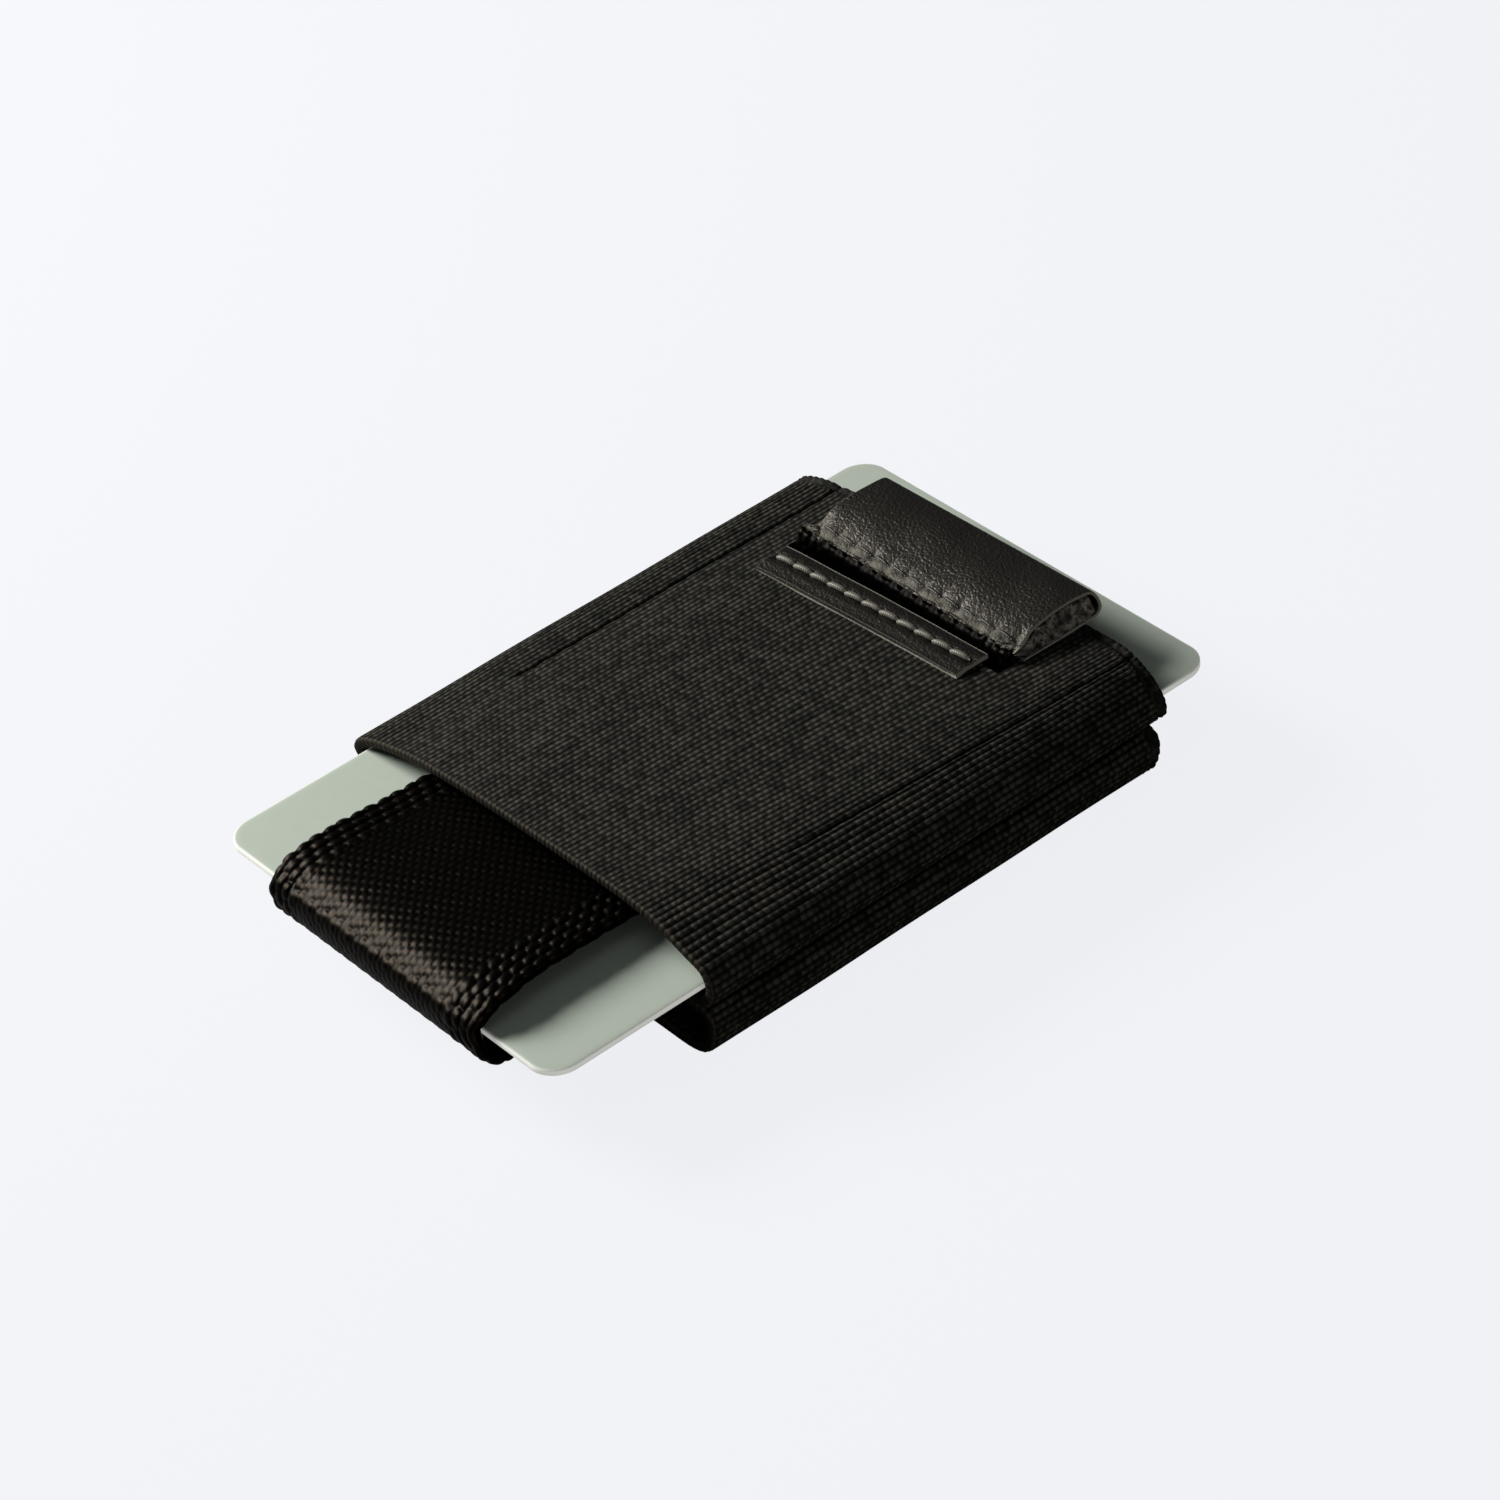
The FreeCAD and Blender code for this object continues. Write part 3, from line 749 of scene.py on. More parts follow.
def elastic_grid(elastic, start, end, outlines, values, closed, rows, must, seams):
    """Points and notes of a ribbed elastic tube or band on its grid of stations and values.

    Each point lies on the outline, blended from one end to the other, and is moved along the
    outline's normal by the height of the ribs less its depth in the wall. Towards the far rim
    come a row of loops, a groove and a chain of arches. Each seam is a valley, wider at its
    stitches. The notes are the place along the tube, the rib count, and a number that is over
    0 on the cut mouth and under 0 on the hem.
    """
    places, depths, outside = wall_stations(start, end, elastic.wall, rows, must)
    along, rim = places[:, None], (end - places)[:, None]
    share = sleeve_share(places)[:, None, None]
    near, far = [through(outline, closed, values) for outline in outlines]
    section = between(near, far, share)
    normal = between(outward(near, closed), outward(far, closed), share)
    normal /= np.linalg.norm(normal, axis=2)[..., None]
    y, around = near[:, 0], lengths(near)
    upper = near[:, 1] > SLEEVE_LOW[2] + 3
    columns = [int(np.argmin(np.where(upper, np.abs(y - seam), np.inf))) for seam in seams]
    count, relief = rib_relief(elastic, places, around, smooth(19.0, 24.5, np.abs(y)), columns)
    hem = smooth(1.5, 1.8, rim)
    out = (depths < elastic.wall * 0.5)[:, None]
    ribbed = relief * hem * smooth(-0.1, 0.5, along - start)
    chain = arches(around / 1.15 + 1 / math.pi)
    offset = np.where(out, ribbed, 0.4 * ribbed) - depths[:, None]
    offset += (0.12 * arches(around / 0.8) - 0.02) * hump(rim, 1.42, 0.2) * out
    offset -= 0.26 * hump(rim, 1.0, 0.2) * out
    offset += 0.16 * chain * hump(rim, 0.45, 0.3)
    offset += 0.10 * ripple(along / 11, around / 9) * out
    opened = smooth(LINING_LOW[0], LINING_LOW[0] + 0.8, along)
    pull = 0.5 + 0.5 * np.cos(math.tau * (along - LINING_LOW[0]) / SEAM_PITCH)
    for seam in seams:
        offset -= 0.4 * opened * upper * hump(y, seam, 0.24 * (1 + 0.5 * pull ** 3)) * out
    placed = section + normal * offset[..., None]
    wander = 0.2 * ripple(around / 5, 0.0) + 0.04 * chain
    x = along + wander * (1 - smooth(0.5, 3.0, rim))
    into = (depths / elastic.wall)[:, None]
    line = hump(into, 0.06, 0.1) + hump(into, 0.96, 0.08)
    cut = 1 - smooth(0.3, 0.6, along - start)
    edge = cut * (1 + line) - (1 - hem) * (1 - cut)
    points = together(x, placed[..., 0], placed[..., 1])
    return points, together(along, count, edge), places, outside


def make_card_sleeve(elastic, material):
    """The upper tube, with the slot that the strap comes up through.

    The slot's quads are left out of the outer and the inner wall, and walls join its edges.
    """
    outlines = sleeve_outlines()

    def density(middles):
        shown = (middles[:, 1] > SLEEVE_LOW[2] + 0.9) | (np.abs(middles[:, 0]) > 25)
        return np.where(shown, 1.0, 0.12)

    values = spread(outlines[0], True, density, 940)
    slot_start, slot_end = PATCH_HIGH[0] - 0.55, RISER_HIGH[0] + 0.2
    points, notes, places, outside = elastic_grid(
        elastic, SLEEVE_LOW[0], SLEEVE_HIGH[0], outlines, values, True, 66,
        [slot_start, slot_end], [SEAM_Y - 0.6, -SEAM_Y - 0.17])
    rows, columns = points.shape[:2]
    faces = grid_faces(rows, columns, True, True)
    upper = int(np.argmin(np.abs(places[:outside] - slot_start)))
    lower = outside + int(np.argmin(np.abs(places[outside:] - slot_end)))
    y, z = points[upper, :, 1], points[upper, :, 2]
    in_slot = np.flatnonzero((z > SLEEVE_LOW[2] + 4) & (np.abs(y) < RISER_HIGH[1] + 0.3))
    first, last = in_slot[0], in_slot[-1]
    keep = np.ones(faces.shape[:2], bool)
    keep[[upper, lower], first:last] = False
    index = np.arange(rows * columns).reshape(rows, columns)
    here, after = slice(first, last), slice(first + 1, last + 1)
    walls = [
        np.stack([index[a, here], index[a, after], index[b, after], index[b, here]], axis=1)
        for a, b in ((upper, lower + 1), (lower, upper + 1))]
    corners = [upper, upper + 1, lower, lower + 1]
    ends = [index[corners[::-1], first], index[corners, last]]
    faces = np.concatenate([faces[keep], *walls, ends])
    piece = mesh_piece("card_sleeve_elastic", points, faces, [], notes)
    dress(piece, material, ["card_sleeve"], "sleeve")


def make_cash_sleeve(elastic, material):
    """The lower band, with its edges turned in under the card sleeve."""
    outline = np.array(CASH_OUTLINE) * (CASH_HIGH[1], CASH_HIGH[2])

    def density(middles):
        return np.where(np.abs(middles[:, 0]) > 23, 1.0, 0.45)

    values = spread(outline, False, density, 700)
    points, notes = elastic_grid(
        elastic, CASH_LOW[0], CASH_HIGH[0], (outline, outline), values, False, 62, [], [])[:2]
    points[..., 2] = np.maximum(points[..., 2], 0.01)
    rows, columns = points.shape[:2]
    starts = np.arange(rows) * columns
    piece = mesh_piece(
        "cash_sleeve_elastic", points, grid_faces(rows, columns, True, False),
        [starts[::-1], starts + columns - 1], notes)
    dress(piece, material, ["cash_sleeve"], "sleeve")


# ---------------------------------------------------------------- strips: webbing and leather

def strip_section(half, thick, corner, front, back):
    """Closed outline of a strip: a wide rectangle with rounded corners.

    Returns places across, depths, and the two parts of the outward direction.
    """
    turn = 4
    angle = np.linspace(math.pi / 2, 0, turn)
    middle_y, middle_z = half - corner, thick / 2 - corner
    edge_y = np.concatenate([np.cos(angle), np.cos(angle)[::-1]])
    edge_z = np.concatenate([np.sin(angle), -np.sin(angle)[::-1]])
    face = np.linspace(-middle_y, middle_y, front)[1:-1]
    under = np.linspace(middle_y, -middle_y, back)[1:-1]
    out_y = np.concatenate([0 * face, edge_y, 0 * under, -edge_y])
    out_z = np.concatenate([0 * face + 1, edge_z, 0 * under - 1, -edge_z])
    rest = np.full(2 * turn, middle_y)
    side = np.repeat([1, 1, -1, -1, -1, 1], [len(face), turn, turn, len(under), turn, turn])
    across = np.concatenate([face, rest, under, -rest]) + corner * out_y
    return across, middle_z * side + corner * out_z, out_y, out_z


def carry(centre, across, depth):
    """Points of a strip: its centre line plus depth along the left-hand normal, across along Y."""
    normal = -side_normals(centre, False)[:, :, None]
    x, z = centre[:, :1] + depth * normal[:, 0], centre[:, 1:] + depth * normal[:, 1]
    return together(x, across, z)


def strip_piece(name, points, notes):
    """A mesh object from a grid whose rows are closed rings, with a cap on each end."""
    rows, columns = points.shape[:2]
    ring = np.arange(columns)
    caps = [ring[::-1], (rows - 1) * columns + ring]
    return mesh_piece(name, points, grid_faces(rows, columns, False, True), caps, notes)


def weave(strap, along, across, half):
    """Height of the webbing from 0 in the gaps to 1 on the floats, and how coarse it is there.

    The middle is a twill: round floats a bead long in columns, each column shifted by a bit
    over a third of a bead.  The woven edges have wider, longer lumps shifted by half.
    """
    coarse = smooth(half - strap.selvedge - 0.2, half - strap.selvedge + 0.4, np.abs(across))
    column = across / strap.column
    row = along / strap.bead + 0.37 * np.floor(column)
    fine = bell(row) * (0.45 + 0.55 * bell(column))
    wide = (np.abs(across) - half) / 1.12
    slant = along / 1.66 + 0.5 * np.floor(wide) + 0.22 * wide
    thick = bell(slant) * bell(wide)
    return between(fine, thick, coarse), coarse


def webbing(name, strap, centre, measure, half, front, back, move, scale=1.0, painted_slot_shade=0.0):
    """A strip of webbing carried along a centre line, with lumpy scalloped edges.

    move(x, y, z) returns the points moved. scale thins the strip row by row, and the last argument
    darkens its middle where it lies in a slot, as painted shade.
    """
    thick = strap.thick
    across, depth, out_y, out_z = strip_section(half, thick, thick / 2, front, back)
    along = measure[:, None]
    reach = np.broadcast_to(across, (len(centre), len(across)))
    height, coarse = weave(strap, along, reach, half)
    tall = strap.relief * (1 + 1.1 * coarse)
    lift = (height - 0.55) * tall * (0.35 + 0.65 * (out_z > -0.2))
    scallop = 0.2 * (arches(along / strap.lump, 0.7) - 0.6) * np.sign(reach)
    scallop = scallop * smooth(half - 2.6, half, np.abs(reach))
    points = carry(centre, reach + lift * out_y + scallop, (depth + lift * out_z) * scale)
    # Painted slot shade: the middle of the strip is darkened fully and its woven edges by under a
    # third, through the weave's height note.
    middle = 1 - 0.7 * smooth(half - 2.5, half - 1.0, np.abs(reach))
    notes = together(along, reach, height * (1 - painted_slot_shade * middle))
    return strip_piece(name, move(*np.moveaxis(points, -1, 0)), notes)


def strap_front_line():
    """Centre line from the anchor, forward under the card, round its front edge and back in."""
    middle = (LOOP_LOW[2] + LOOP_HIGH[2]) / 2
    radius = (LOOP_HIGH[2] - LOOP_LOW[2]) / 2 - HALF_STRAP
    turn = np.linspace(-math.pi / 2, -1.5 * math.pi, 9)[:6]
    bend = together(LOOP_HIGH[0] + radius * np.cos(turn), middle + radius * np.sin(turn))
    floor, roof = LOWER_HIGH[2] - HALF_STRAP, UPPER_LOW[2] + HALF_STRAP
    under = [(LOWER_HIGH[0], floor), (0.0, floor), (-24.0, floor), (-33.0, 8.15), (-39.0, 7.3),
             (-43.5, 6.78)]
    over = [(-48.35, 11.05), (-47.3, 11.78), (-45.9, 12.22), (-43.4, 12.47), (-39.0, 12.58),
            (-33.0, 12.5), (-27.0, 12.25), (-19.0, 11.75), (-12.0, roof), (0.0, roof),
            (14.0, roof)]
    return np.array(under + bend.tolist() + over)


def make_strap_front(strap, material):
    """The strap's long loop, with fewer stations in its hidden middle."""
    inside = SLEEVE_LOW[0] + 2.5

    def density(middles):
        return np.where(middles[:, 0] < inside, 1.0, 0.14)

    def move(x, y, z):
        """Lowers the +Y side of the upper run, and draws in the -Y end of the bend."""
        lean = smooth(2.0, LOOP_HIGH[1], y) * smooth(-44.0, -33.0, x)
        z = z - 0.55 * lean * (z > 10)
        front, under = smooth(-40.0, -46.5, x), 1 - smooth(8.0, 10.5, z)
        y = y - (0.6 + 0.8 * under) * smooth(9.0, 16.0, -y) * front
        return together(x, y, z - 0.35 * under * front)

    centre, measure = along_line(strap_front_line(), density, 262)
    piece = webbing("strap_front", strap, centre, measure, LOOP_HIGH[1], 214, 46, move)
    dress(piece, material, ["strap_lower_run", "strap_front_loop", "strap_upper_run"])
    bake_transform(piece)


def make_strap_neck(strap, material):
    """The strap's rise through the slot, with thirty millimetres gathered up at its end.

    The gathered rows are spaced by the inverse of 3t^2 - 2t^3, found by interpolation, so
    that they lie evenly along the strap once the tab is pulled.
    """
    height = PIVOT[1] - 0.2
    rise = [(9.0, 11.4), (14.0, 11.4), (17.6, 11.7), (19.2, 12.5), (19.7, 13.5), (19.9, 14.4),
            (PIVOT[0] - GATHER, height)]
    first, measure = along_line(rise, lambda middles: np.where(middles[:, 1] > 12.5, 1.0, 0.4), 30)
    t = np.linspace(0, 1, 2001)
    share = np.linspace(0, 1, 102)[1:]
    second = together(first[-1, 0] + GATHER * np.interp(share, t * t * (3 - 2 * t), t), height)
    turn = np.linspace(0, math.pi / 2, 6)[1:-1]
    round_end = strap.thick / 2 * np.sin(turn)
    centre = np.concatenate([first, second, together(PIVOT[0] + round_end, height)])
    last = measure[-1] + GATHER + TRAVEL
    measure = np.concatenate([
        measure, measure[-1] + (GATHER + TRAVEL) * share, last + round_end])
    scale = 0.8 * np.concatenate([np.ones(len(first) + len(second)), np.cos(turn)])
    # Painted shade: the rows inside the slot get a darker middle, and so do the first gathered rows
    # just above it.
    painted_slot_shade = np.concatenate([
        np.full(len(first), 0.97), 0.9 * (1 - smooth(0.0, 0.06, share)), 0 * turn])
    piece = webbing(
        "strap_neck_run", strap, centre, measure, STRAP_HALF_WIDTH, 150, 60, together,
        scale[:, None], painted_slot_shade[:, None])
    dress(piece, material, ["strap_slot_riser", "strap_neck"])
    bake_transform(piece)


def make_strap_tail(strap, material):
    """The strap's end inside the tab, rounded where it hinges on the neck."""
    line = [tuple(PIVOT), (21.3, 14.95), (22.4, 14.95), (24.0, 15.2), (26.0, 15.38), (28.0, 15.4),
            (30.2, 15.36)]
    centre, measure = along_line(line, evenly, 44)
    turn = np.linspace(math.pi / 2, 0, 6)[1:-1]
    round_end = strap.thick / 2 * np.sin(turn)
    centre = np.concatenate([together(PIVOT[0] - round_end, PIVOT[1]), centre])
    measure = np.concatenate([-round_end, measure])
    places = centre[:, 0]
    swell = 0.62 + 0.9 * smooth(21.7, 25.5, places) - 0.4 * smooth(28.6, 30.2, places)
    scale = swell * np.concatenate([np.cos(turn), np.ones(len(centre) - len(turn))])

    def move(x, y, z):
        """Fits the strap's sides to the tab's, and lowers its underside."""
        z = z - 0.3 * (1 - smooth(TAB_MIDDLE - 0.9, TAB_MIDDLE, z))
        flush = tab_across(y * (TAB_HIGH[1] + 0.25) / STRAP_HALF_WIDTH, z)
        y = between(y, flush, smooth(20.9, 22.4, x))
        return together(tab_along(x, y), y, z)

    piece = webbing(
        "strap_tail_end", strap, centre, measure, STRAP_HALF_WIDTH, 150, 60, move, scale[:, None])
    # material is the pale tail finish: painted light on the strap's end where it shows at the tab's
    # side.
    dress(piece, material, ["strap_tail"], "tab_tongue")


def leather_strip(name, thick, line, density, count, half, shape):
    """A strip of leather with cut edges.

    shape(x, y, z, measure) returns the three places moved, and how raw the surface is.
    """
    centre, measure = along_line(line, density, count)
    across, depth, out_y = strip_section(half, thick, 0.16, 170, 60)[:3]
    along = measure[:, None]
    x, y, z, raw = shape(*np.moveaxis(carry(centre, across, depth), -1, 0), along)
    raw = np.maximum(raw, smooth(0.3, 0.75, np.abs(out_y)))
    raw = np.maximum(raw, 1 - smooth(0.0, 0.14, np.minimum(along, measure[-1] - along)))
    return strip_piece(name, together(x, y, z), together(along, y, raw))


def stitch_wave(y, pitch):
    """1 at each needle hole of a row of stitches and 0 between them."""
    return hump(((y / pitch) % 1 - 0.5) * pitch, 0.0, 0.5)


def tab_along(x, y):
    """Place along the wallet of a point of the tab, whose fold lies slightly askew."""
    return x + (0.52 - 0.022 * y) * smooth(22.0, 29.5, x)


def tab_across(y, z):
    """Place across the tab, which is narrower than the strap and off its middle.

    Its lower layer stands out by 0.9 mm at the -Y side, and the step between is smooth.
    """
    below = 1 - smooth(TAB_MIDDLE - 1.0, TAB_MIDDLE + 1.0, z)
    return y * 0.925 - 0.65 - 0.9 * below * smooth(9.0, 16.8, -y)


def make_tab_leather(leather, material):
    """The pull tab: leather folded round the strap's end, pinched by a row of stitches."""
    middle_x, middle_z = 29.95, TAB_MIDDLE
    radius = (TAB_HIGH[2] - TAB_LOW[2] + 0.3 - leather.hide) / 2
    turn = np.linspace(math.pi / 2, -math.pi / 2, 9)
    fold = together(middle_x + radius * np.cos(turn), middle_z + radius * np.sin(turn))
    upper = [(20.4, 15.4), (21.0, 15.56), (21.9, 15.84), (23.2, 16.26), (24.8, 16.62),
             (26.6, 16.80), (28.3, 16.74)]
    lower = [(28.0, 14.06), (24.5, 14.0), (21.2, 14.08)]
    line = np.array(upper + fold.tolist() + lower)

    def shape(x, y, z, along):
        on_top = z > middle_z
        near = 1 - smooth(20.8, 24.0, x)
        hole = stitch_wave(y, leather.stitch) * (0.6 + 0.4 * ripple(y / 2.3, 2.0))
        corner = 0.9 * smooth(13.0, 16.8, np.abs(y)) ** 2
        x = x + near * on_top * (corner + 0.22 * ripple(y / 1.9, 0.4) + 0.3 * hole)
        pinch = hump(x, TAB_STITCH, 0.6)
        z = z - on_top * (pinch * (0.02 + 0.2 * hole) - 0.08 * near * (1 - hole))
        z = z + on_top * 0.12 * ripple(y / 4.0, x / 5.0) * (1 - near) * smooth(0.0, 3.0, 31 - x)
        # The upper layer is paler along its near edge over about a millimetre, in uneven lumps mixed
        # towards the raw-edge colour.
        lip = hump(along, 0.0, 1.2) * (0.42 + 0.4 * ripple(y / 0.9, x / 0.7))
        across = tab_across(y, z)
        return tab_along(x, across), across, z, np.clip(lip, 0, 1)

    def density(middles):
        return np.where(middles[:, 1] > middle_z, 1.0, 0.4)

    piece = leather_strip("tab_leather_fold", leather.hide, line, density, 130, TAB_HIGH[1], shape)
    dress(piece, material, ["tab_leather"], "tab_tongue")


def patch_place(x, y):
    """Place on the sleeve of a point of the patch, which is sewn on slightly askew."""
    return x - 0.033 * y, y * 0.9 + 0.7


def make_slot_patch(leather, material):
    """The strip of leather sewn on in front of the slot, following the sleeve's top."""
    line = [(PATCH_LOW[0] - 0.55, 0.0), (15.0, 0.0), (16.4, 0.0), (PATCH_HIGH[0] - 0.25, 0.0)]

    def shape(x, y, z, along):
        askew, across = patch_place(x, y)
        ground = sleeve_top(askew, across)
        row = hump(x, PATCH_STITCH, 0.6) * (0.16 + 0.16 * stitch_wave(y, leather.stitch))
        front = smooth(PATCH_LOW[0] - 0.6, PATCH_LOW[0] + 1.2, x)
        lift = 0.10 + 0.30 * front + leather.patch / 2 - 0.15
        z = np.maximum(ground + lift + z - row * (z > 0), ground - 0.35)
        return askew + 0.05 * ripple(y / 5.0, 1.0), across, z, 0.0

    piece = leather_strip(
        "slot_patch_leather", leather.patch, line, evenly, 40, PATCH_HIGH[1], shape)
    dress(piece, material, ["slot_patch"], "sleeve")


# ---------------------------------------------------------------- threads

def threads(name, centres, heading, long, thick, arch):
    """A row of stitches, each an arched thread with its ends pulled into the hide.

    Along each stitch t goes from -1 to 1: the thread's radius goes as 0.35 + 0.65 (1 - t^6)
    and its height as arch (1 - t^2). heading is in degrees from +X.
    """
    turns, steps = 8, 11
    t = np.linspace(-1, 1, steps)
    angle = np.linspace(0, math.tau, turns, endpoint=False)
    radius = thick / 2 * (0.35 + 0.65 * (1 - t ** 6))
    heading = math.radians(heading)
    forward = np.array([math.cos(heading), math.sin(heading), 0.0])
    side = np.array([-forward[1], forward[0], 0.0])
    up = np.array([0.0, 0.0, 1.0])
    spine = t[:, None] * forward * long / 2 + (arch * (1 - t ** 2))[:, None] * up
    ring = np.cos(angle)[:, None] * side + np.sin(angle)[:, None] * up
    points = centres[:, None, None] + spine[:, None] + radius[:, None, None] * ring
    start = np.arange(len(centres))[:, None, None] * steps * turns
    faces = grid_faces(steps, turns, False, True).reshape(-1, 4) + start
    first = np.arange(turns) + start[:, 0]
    caps = [*first[:, ::-1], *(first + (steps - 1) * turns)]
    notes = together(
        (t * long / 2)[:, None], angle / math.tau, np.ones((len(centres), 1, 1)))
    return mesh_piece(name, points, faces, caps, notes)


def stitch_row(pitch):
    """Places across of the eleven stitches in the leather."""
    return (np.arange(11) - 5.0) * pitch


def make_patch_thread(leather, material):
    """The large slanted stitches through the patch."""
    x, y = patch_place(PATCH_STITCH, stitch_row(leather.stitch))
    centres = together(x, y, sleeve_top(x, y) + 0.25 + leather.patch - 0.16)
    piece = threads("patch_thread", centres, 98, leather.stitch * 0.93, leather.thread, 0.22)
    dress(piece, material, ["patch_stitch"], "sleeve")


def make_tab_thread(leather, material):
    """The small stitches that pinch the tab's root."""
    height = 15.82
    centres = together(TAB_STITCH, tab_across(stitch_row(leather.stitch), height), height)
    piece = threads("tab_thread", centres, 86, leather.stitch * 0.8, leather.thread * 0.5, 0.14)
    dress(piece, material, ["tab_stitch"], "tab_tongue")


def make_seam_threads(material):
    """The two sewn lines that close the channel, sunk in their grooves."""
    x = np.arange(LINING_LOW[0] + 1.4, SLEEVE_HIGH[0] - 1.2, SEAM_PITCH)
    for name, y in (("left", SEAM_Y - 0.17), ("right", -SEAM_Y - 0.17)):
        centres = together(x, y, sleeve_top(x, y) - 0.30)
        piece = threads("seam_thread_" + name, centres, 0, 1.9, 0.34, 0.10)
        dress(piece, material, ["channel_stitch_" + name], "sleeve")


# ---------------------------------------------------------------- card

# The upper half of the card's edge: inset, height in half thicknesses, and how raw it is, which sets
# both the pale core colour and its painted glow.
CARD_EDGE = [
    (0.9, 1.0, 0.0), (0.34, 1.0, 0.0), (0.12, 0.93, 0.25), (0.03, 0.78, 0.7), (0.0, 0.5, 1.0)]


def make_card(card, material):
    """A blank card: a rounded rectangle whose edge is a shallow half round."""
    middle = (CARD_LOW + CARD_HIGH) / 2
    half_x, half_y, half_z = (CARD_HIGH - CARD_LOW) / 2
    angle = np.linspace(0, math.tau, 64, endpoint=False) + math.pi / 64
    corner_x = np.sign(np.cos(angle)) * (half_x - card.corner) + middle[0]
    corner_y = np.sign(np.sin(angle)) * (half_y - card.corner) + middle[1]
    upper = np.array(CARD_EDGE)
    inset, level, raw = np.concatenate([upper, upper[::-1] * (1, -1, 1)]).T[..., None]
    reach = card.corner - inset
    x, y = corner_x + reach * np.cos(angle), corner_y + reach * np.sin(angle)
    rows, columns = x.shape
    ring = np.arange(columns)
    piece = mesh_piece(
        "card_blank", together(x, y, middle[2] + half_z * level),
        grid_faces(rows, columns, False, True), [ring, (rows - 1) * columns + ring[::-1]],
        together(x, y, raw))
    dress(piece, material, ["card"], "card")


# ---------------------------------------------------------------- stage

# Each light's direction, distance and size in metres, power in watts and colour.
LIGHTS = {
    "key": ((-0.34, 0.76, 0.52), 0.55, (0.26, 0.20), 4.6, (1.0, 0.975, 0.93)),
    "top": ((-0.2, -0.1, 1.0), 0.6, (0.4, 0.4), 0.12, (1.0, 0.99, 0.97)),
    "fill": ((-0.25, -0.85, 0.16), 0.6, (0.5, 0.14), 0.5, (1.0, 0.98, 0.95)),
}


def make_floor(stage):
    """A wide matt floor, which the camera sees partly lit and partly glowing in its own colour."""
    size = 3.0
    mesh = bpy.data.meshes.new("floor")
    corners = [(-size, -size, 0), (size, -size, 0), (size, size, 0), (-size, size, 0)]
    mesh.from_pydata(corners, [], [(0, 1, 2, 3)])
    floor = add_object("floor", mesh)
    tint = rgba(stage.floor)
    matt = Finish("floor", Base_Color=tint, Roughness=0.9, Specular_IOR_Level=0.1)
    glow = matt.node("ShaderNodeEmission", {}, {"Color": tint, "Strength": 1.0})
    dark = matt.node("ShaderNodeBsdfDiffuse", {}, {"Color": rgba(stage.floor, stage.bounce)})
    lit = matt.mix_shaders(stage.glow, Signal(matt, matt.shader.outputs[0]), glow)
    matt.show("Material Output", dark, lit)
    mesh.materials.append(matt.material)


def make_world(stage):
    """A dim sky, which the camera sees in the floor's colour."""
    world = bpy.data.worlds.new("studio")
    world.use_nodes = True
    bpy.context.scene.world = world
    sky = world.node_tree.nodes["Background"]
    sky.inputs["Color"].default_value = (0.93, 0.95, 1.0, 1.0)
    sky.inputs["Strength"].default_value = 0.045
    nodes = Nodes(world.node_tree)
    backdrop = nodes.node("ShaderNodeBackground", {}, {"Color": rgba(stage.floor)})
    nodes.show("World Output", Signal(nodes, sky.outputs[0]), backdrop)


def make_light(name, direction, distance, size, power, tint):
    """A rectangular light at a distance from the origin, turned towards it."""
    data = bpy.data.lights.new(name, "AREA")
    data.shape = "RECTANGLE"
    data.size, data.size_y = size
    data.energy = power
    data.color = tint
    light = add_object(name, data)
    away = Vector(direction).normalized()
    light.location = away * distance
    light.rotation_mode = "QUATERNION"
    light.rotation_quaternion = (-away).to_track_quat("-Z", "Y")


def make_camera(stage):
    """The camera, turned round, raised and rolled about the middle of the card's top."""
    azimuth, elevation = math.radians(stage.azimuth), math.radians(stage.elevation)
    back = Vector((
        math.sin(azimuth) * math.cos(elevation),
        -math.cos(azimuth) * math.cos(elevation),
        math.sin(elevation)))
    level = Vector((math.cos(azimuth), math.sin(azimuth), 0))
    upright = back.cross(level)
    roll = math.radians(stage.roll)
    right = level * math.cos(roll) + upright * math.sin(roll)
    up = upright * math.cos(roll) - level * math.sin(roll)
    aim = Vector(((CARD_LOW[0] + CARD_HIGH[0]) / 2, 0, CARD_HIGH[2])) * MM
    aim += right * stage.shift_right - up * stage.shift_down
    data = bpy.data.cameras.new("camera")
    data.lens = stage.lens
    data.sensor_width = 36
    data.clip_start, data.clip_end = 0.01, 20
    camera = add_object("camera", data)
    turn = Matrix((right, up, back)).transposed().to_4x4()
    camera.matrix_world = Matrix.Translation(aim + back * stage.distance) @ turn
    bpy.context.scene.camera = camera


# ---------------------------------------------------------------- operators

def chosen(name):
    """The scene's property group of that name."""
    return getattr(bpy.context.scene, name)


class WALLET_OT_elastic(bpy.types.Operator):
    """Make the card sleeve and the cash band in ribbed elastic"""
    bl_idname = "wallet.elastic"
    bl_label = "Elastic"

    def execute(self, context):
        settings = chosen("wallet_elastic")
        material = finish_elastic("ribbed elastic", settings)
        elastic = Millimetres(settings)
        make_card_sleeve(elastic, material)
        make_cash_sleeve(elastic, material)
        return {"FINISHED"}


class WALLET_OT_strap(bpy.types.Operator):
    """Make the pull strap in woven webbing"""
    bl_idname = "wallet.strap"
    bl_label = "Strap"

    def execute(self, context):
        settings = chosen("wallet_strap")
        material = finish_webbing("nylon webbing", settings)
        # The tail's pale finish is painted light on the strap's end inside the tab.
        frayed_painted_lit = finish_core("frayed webbing", settings.core)
        strap = Millimetres(settings)
        make_strap_front(strap, material)
        make_strap_neck(strap, material)
        make_strap_tail(strap, frayed_painted_lit)
        paint_node("strap_anchor_end", material)
        return {"FINISHED"}


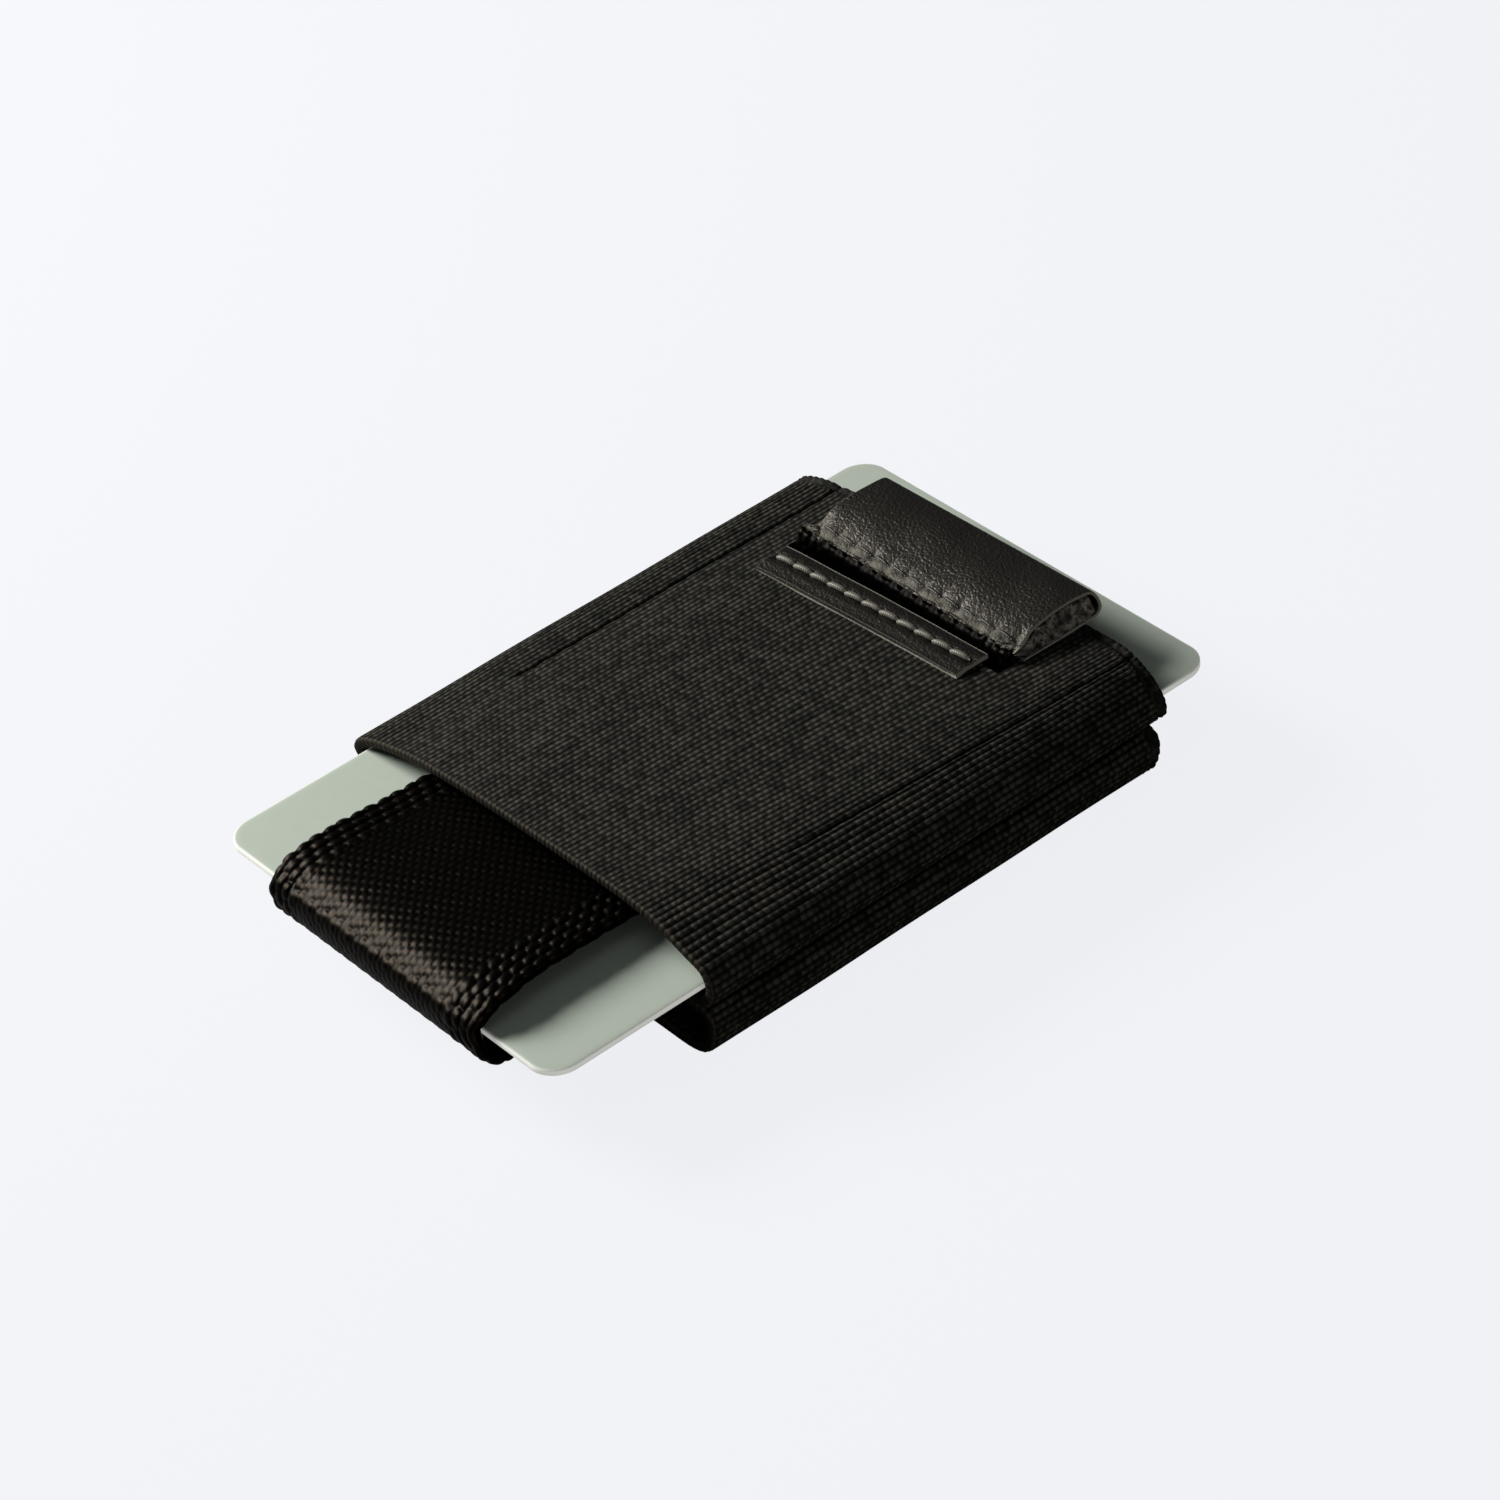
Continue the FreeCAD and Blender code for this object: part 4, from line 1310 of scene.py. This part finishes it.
class WALLET_OT_leather(bpy.types.Operator):
    """Make the folded pull tab and the patch in front of the slot"""
    bl_idname = "wallet.leather"
    bl_label = "Leather"

    def execute(self, context):
        settings = chosen("wallet_leather")
        pebbled = finish_leather("pebbled leather", settings, 0.46, 1.0)
        smoothed = finish_leather("smooth leather", settings, 0.3, 0.6)
        leather = Millimetres(settings)
        make_tab_leather(leather, pebbled)
        make_slot_patch(leather, smoothed)
        return {"FINISHED"}


class WALLET_OT_thread(bpy.types.Operator):
    """Make the stitches in the leather and along the channel"""
    bl_idname = "wallet.thread"
    bl_label = "Thread"

    def execute(self, context):
        settings = chosen("wallet_leather")
        leather = Millimetres(settings)
        glossy = finish_thread("waxed thread", settings.waxed)
        dull = finish_thread("seam thread", settings.dull)
        make_patch_thread(leather, glossy)
        make_tab_thread(leather, dull)
        make_seam_threads(dull)
        for node in ("deck_stitch_left", "deck_stitch_right", "anchor_stitch"):
            paint_node(node, dull)
        paint_node("channel_lining", finish_lining("lining cloth"))
        return {"FINISHED"}


class WALLET_OT_card(bpy.types.Operator):
    """Make the blank card"""
    bl_idname = "wallet.card"
    bl_label = "Card"

    def execute(self, context):
        settings = chosen("wallet_card")
        make_card(Millimetres(settings), finish_card("card plastic", settings))
        return {"FINISHED"}


class WALLET_OT_stage(bpy.types.Operator):
    """Set the floor, the lights and the camera"""
    bl_idname = "wallet.stage"
    bl_label = "Stage"

    def execute(self, context):
        stage = chosen("wallet_stage")
        make_floor(stage)
        make_world(stage)
        for name, settings in LIGHTS.items():
            make_light(name, *settings)
        make_camera(stage)
        context.scene.view_settings.view_transform = "Standard"
        return {"FINISHED"}


class WALLET_PT_panel(bpy.types.Panel):
    """Lists the wallet's operators and their settings"""
    bl_label = "Card Wallet"
    bl_space_type = "VIEW_3D"
    bl_region_type = "UI"
    bl_category = "Wallet"

    def draw(self, context):
        for operator in OPERATORS:
            self.layout.operator(operator.bl_idname)
        for name, kind in GROUPS.items():
            box = self.layout.box()
            for setting in kind.__annotations__:
                box.prop(getattr(context.scene, name), setting)


OPERATORS = (
    WALLET_OT_elastic, WALLET_OT_strap, WALLET_OT_leather, WALLET_OT_thread, WALLET_OT_card,
    WALLET_OT_stage,
)


def register():
    """Registers the classes and hangs the property groups on the scene."""
    for kind in (*GROUPS.values(), *OPERATORS, WALLET_PT_panel):
        bpy.utils.register_class(kind)
    for name, kind in GROUPS.items():
        setattr(bpy.types.Scene, name, bpy.props.PointerProperty(type=kind))


def unregister():
    """Takes the property groups and the classes away again."""
    for name in GROUPS:
        delattr(bpy.types.Scene, name)
    for kind in (WALLET_PT_panel, *reversed(OPERATORS), *reversed(GROUPS.values())):
        bpy.utils.unregister_class(kind)


def main():
    """Makes every piece and the stage."""
    register()
    bpy.ops.wallet.elastic()
    bpy.ops.wallet.strap()
    bpy.ops.wallet.leather()
    bpy.ops.wallet.thread()
    bpy.ops.wallet.card()
    bpy.ops.wallet.stage()


if __name__ == "__main__":
    main()
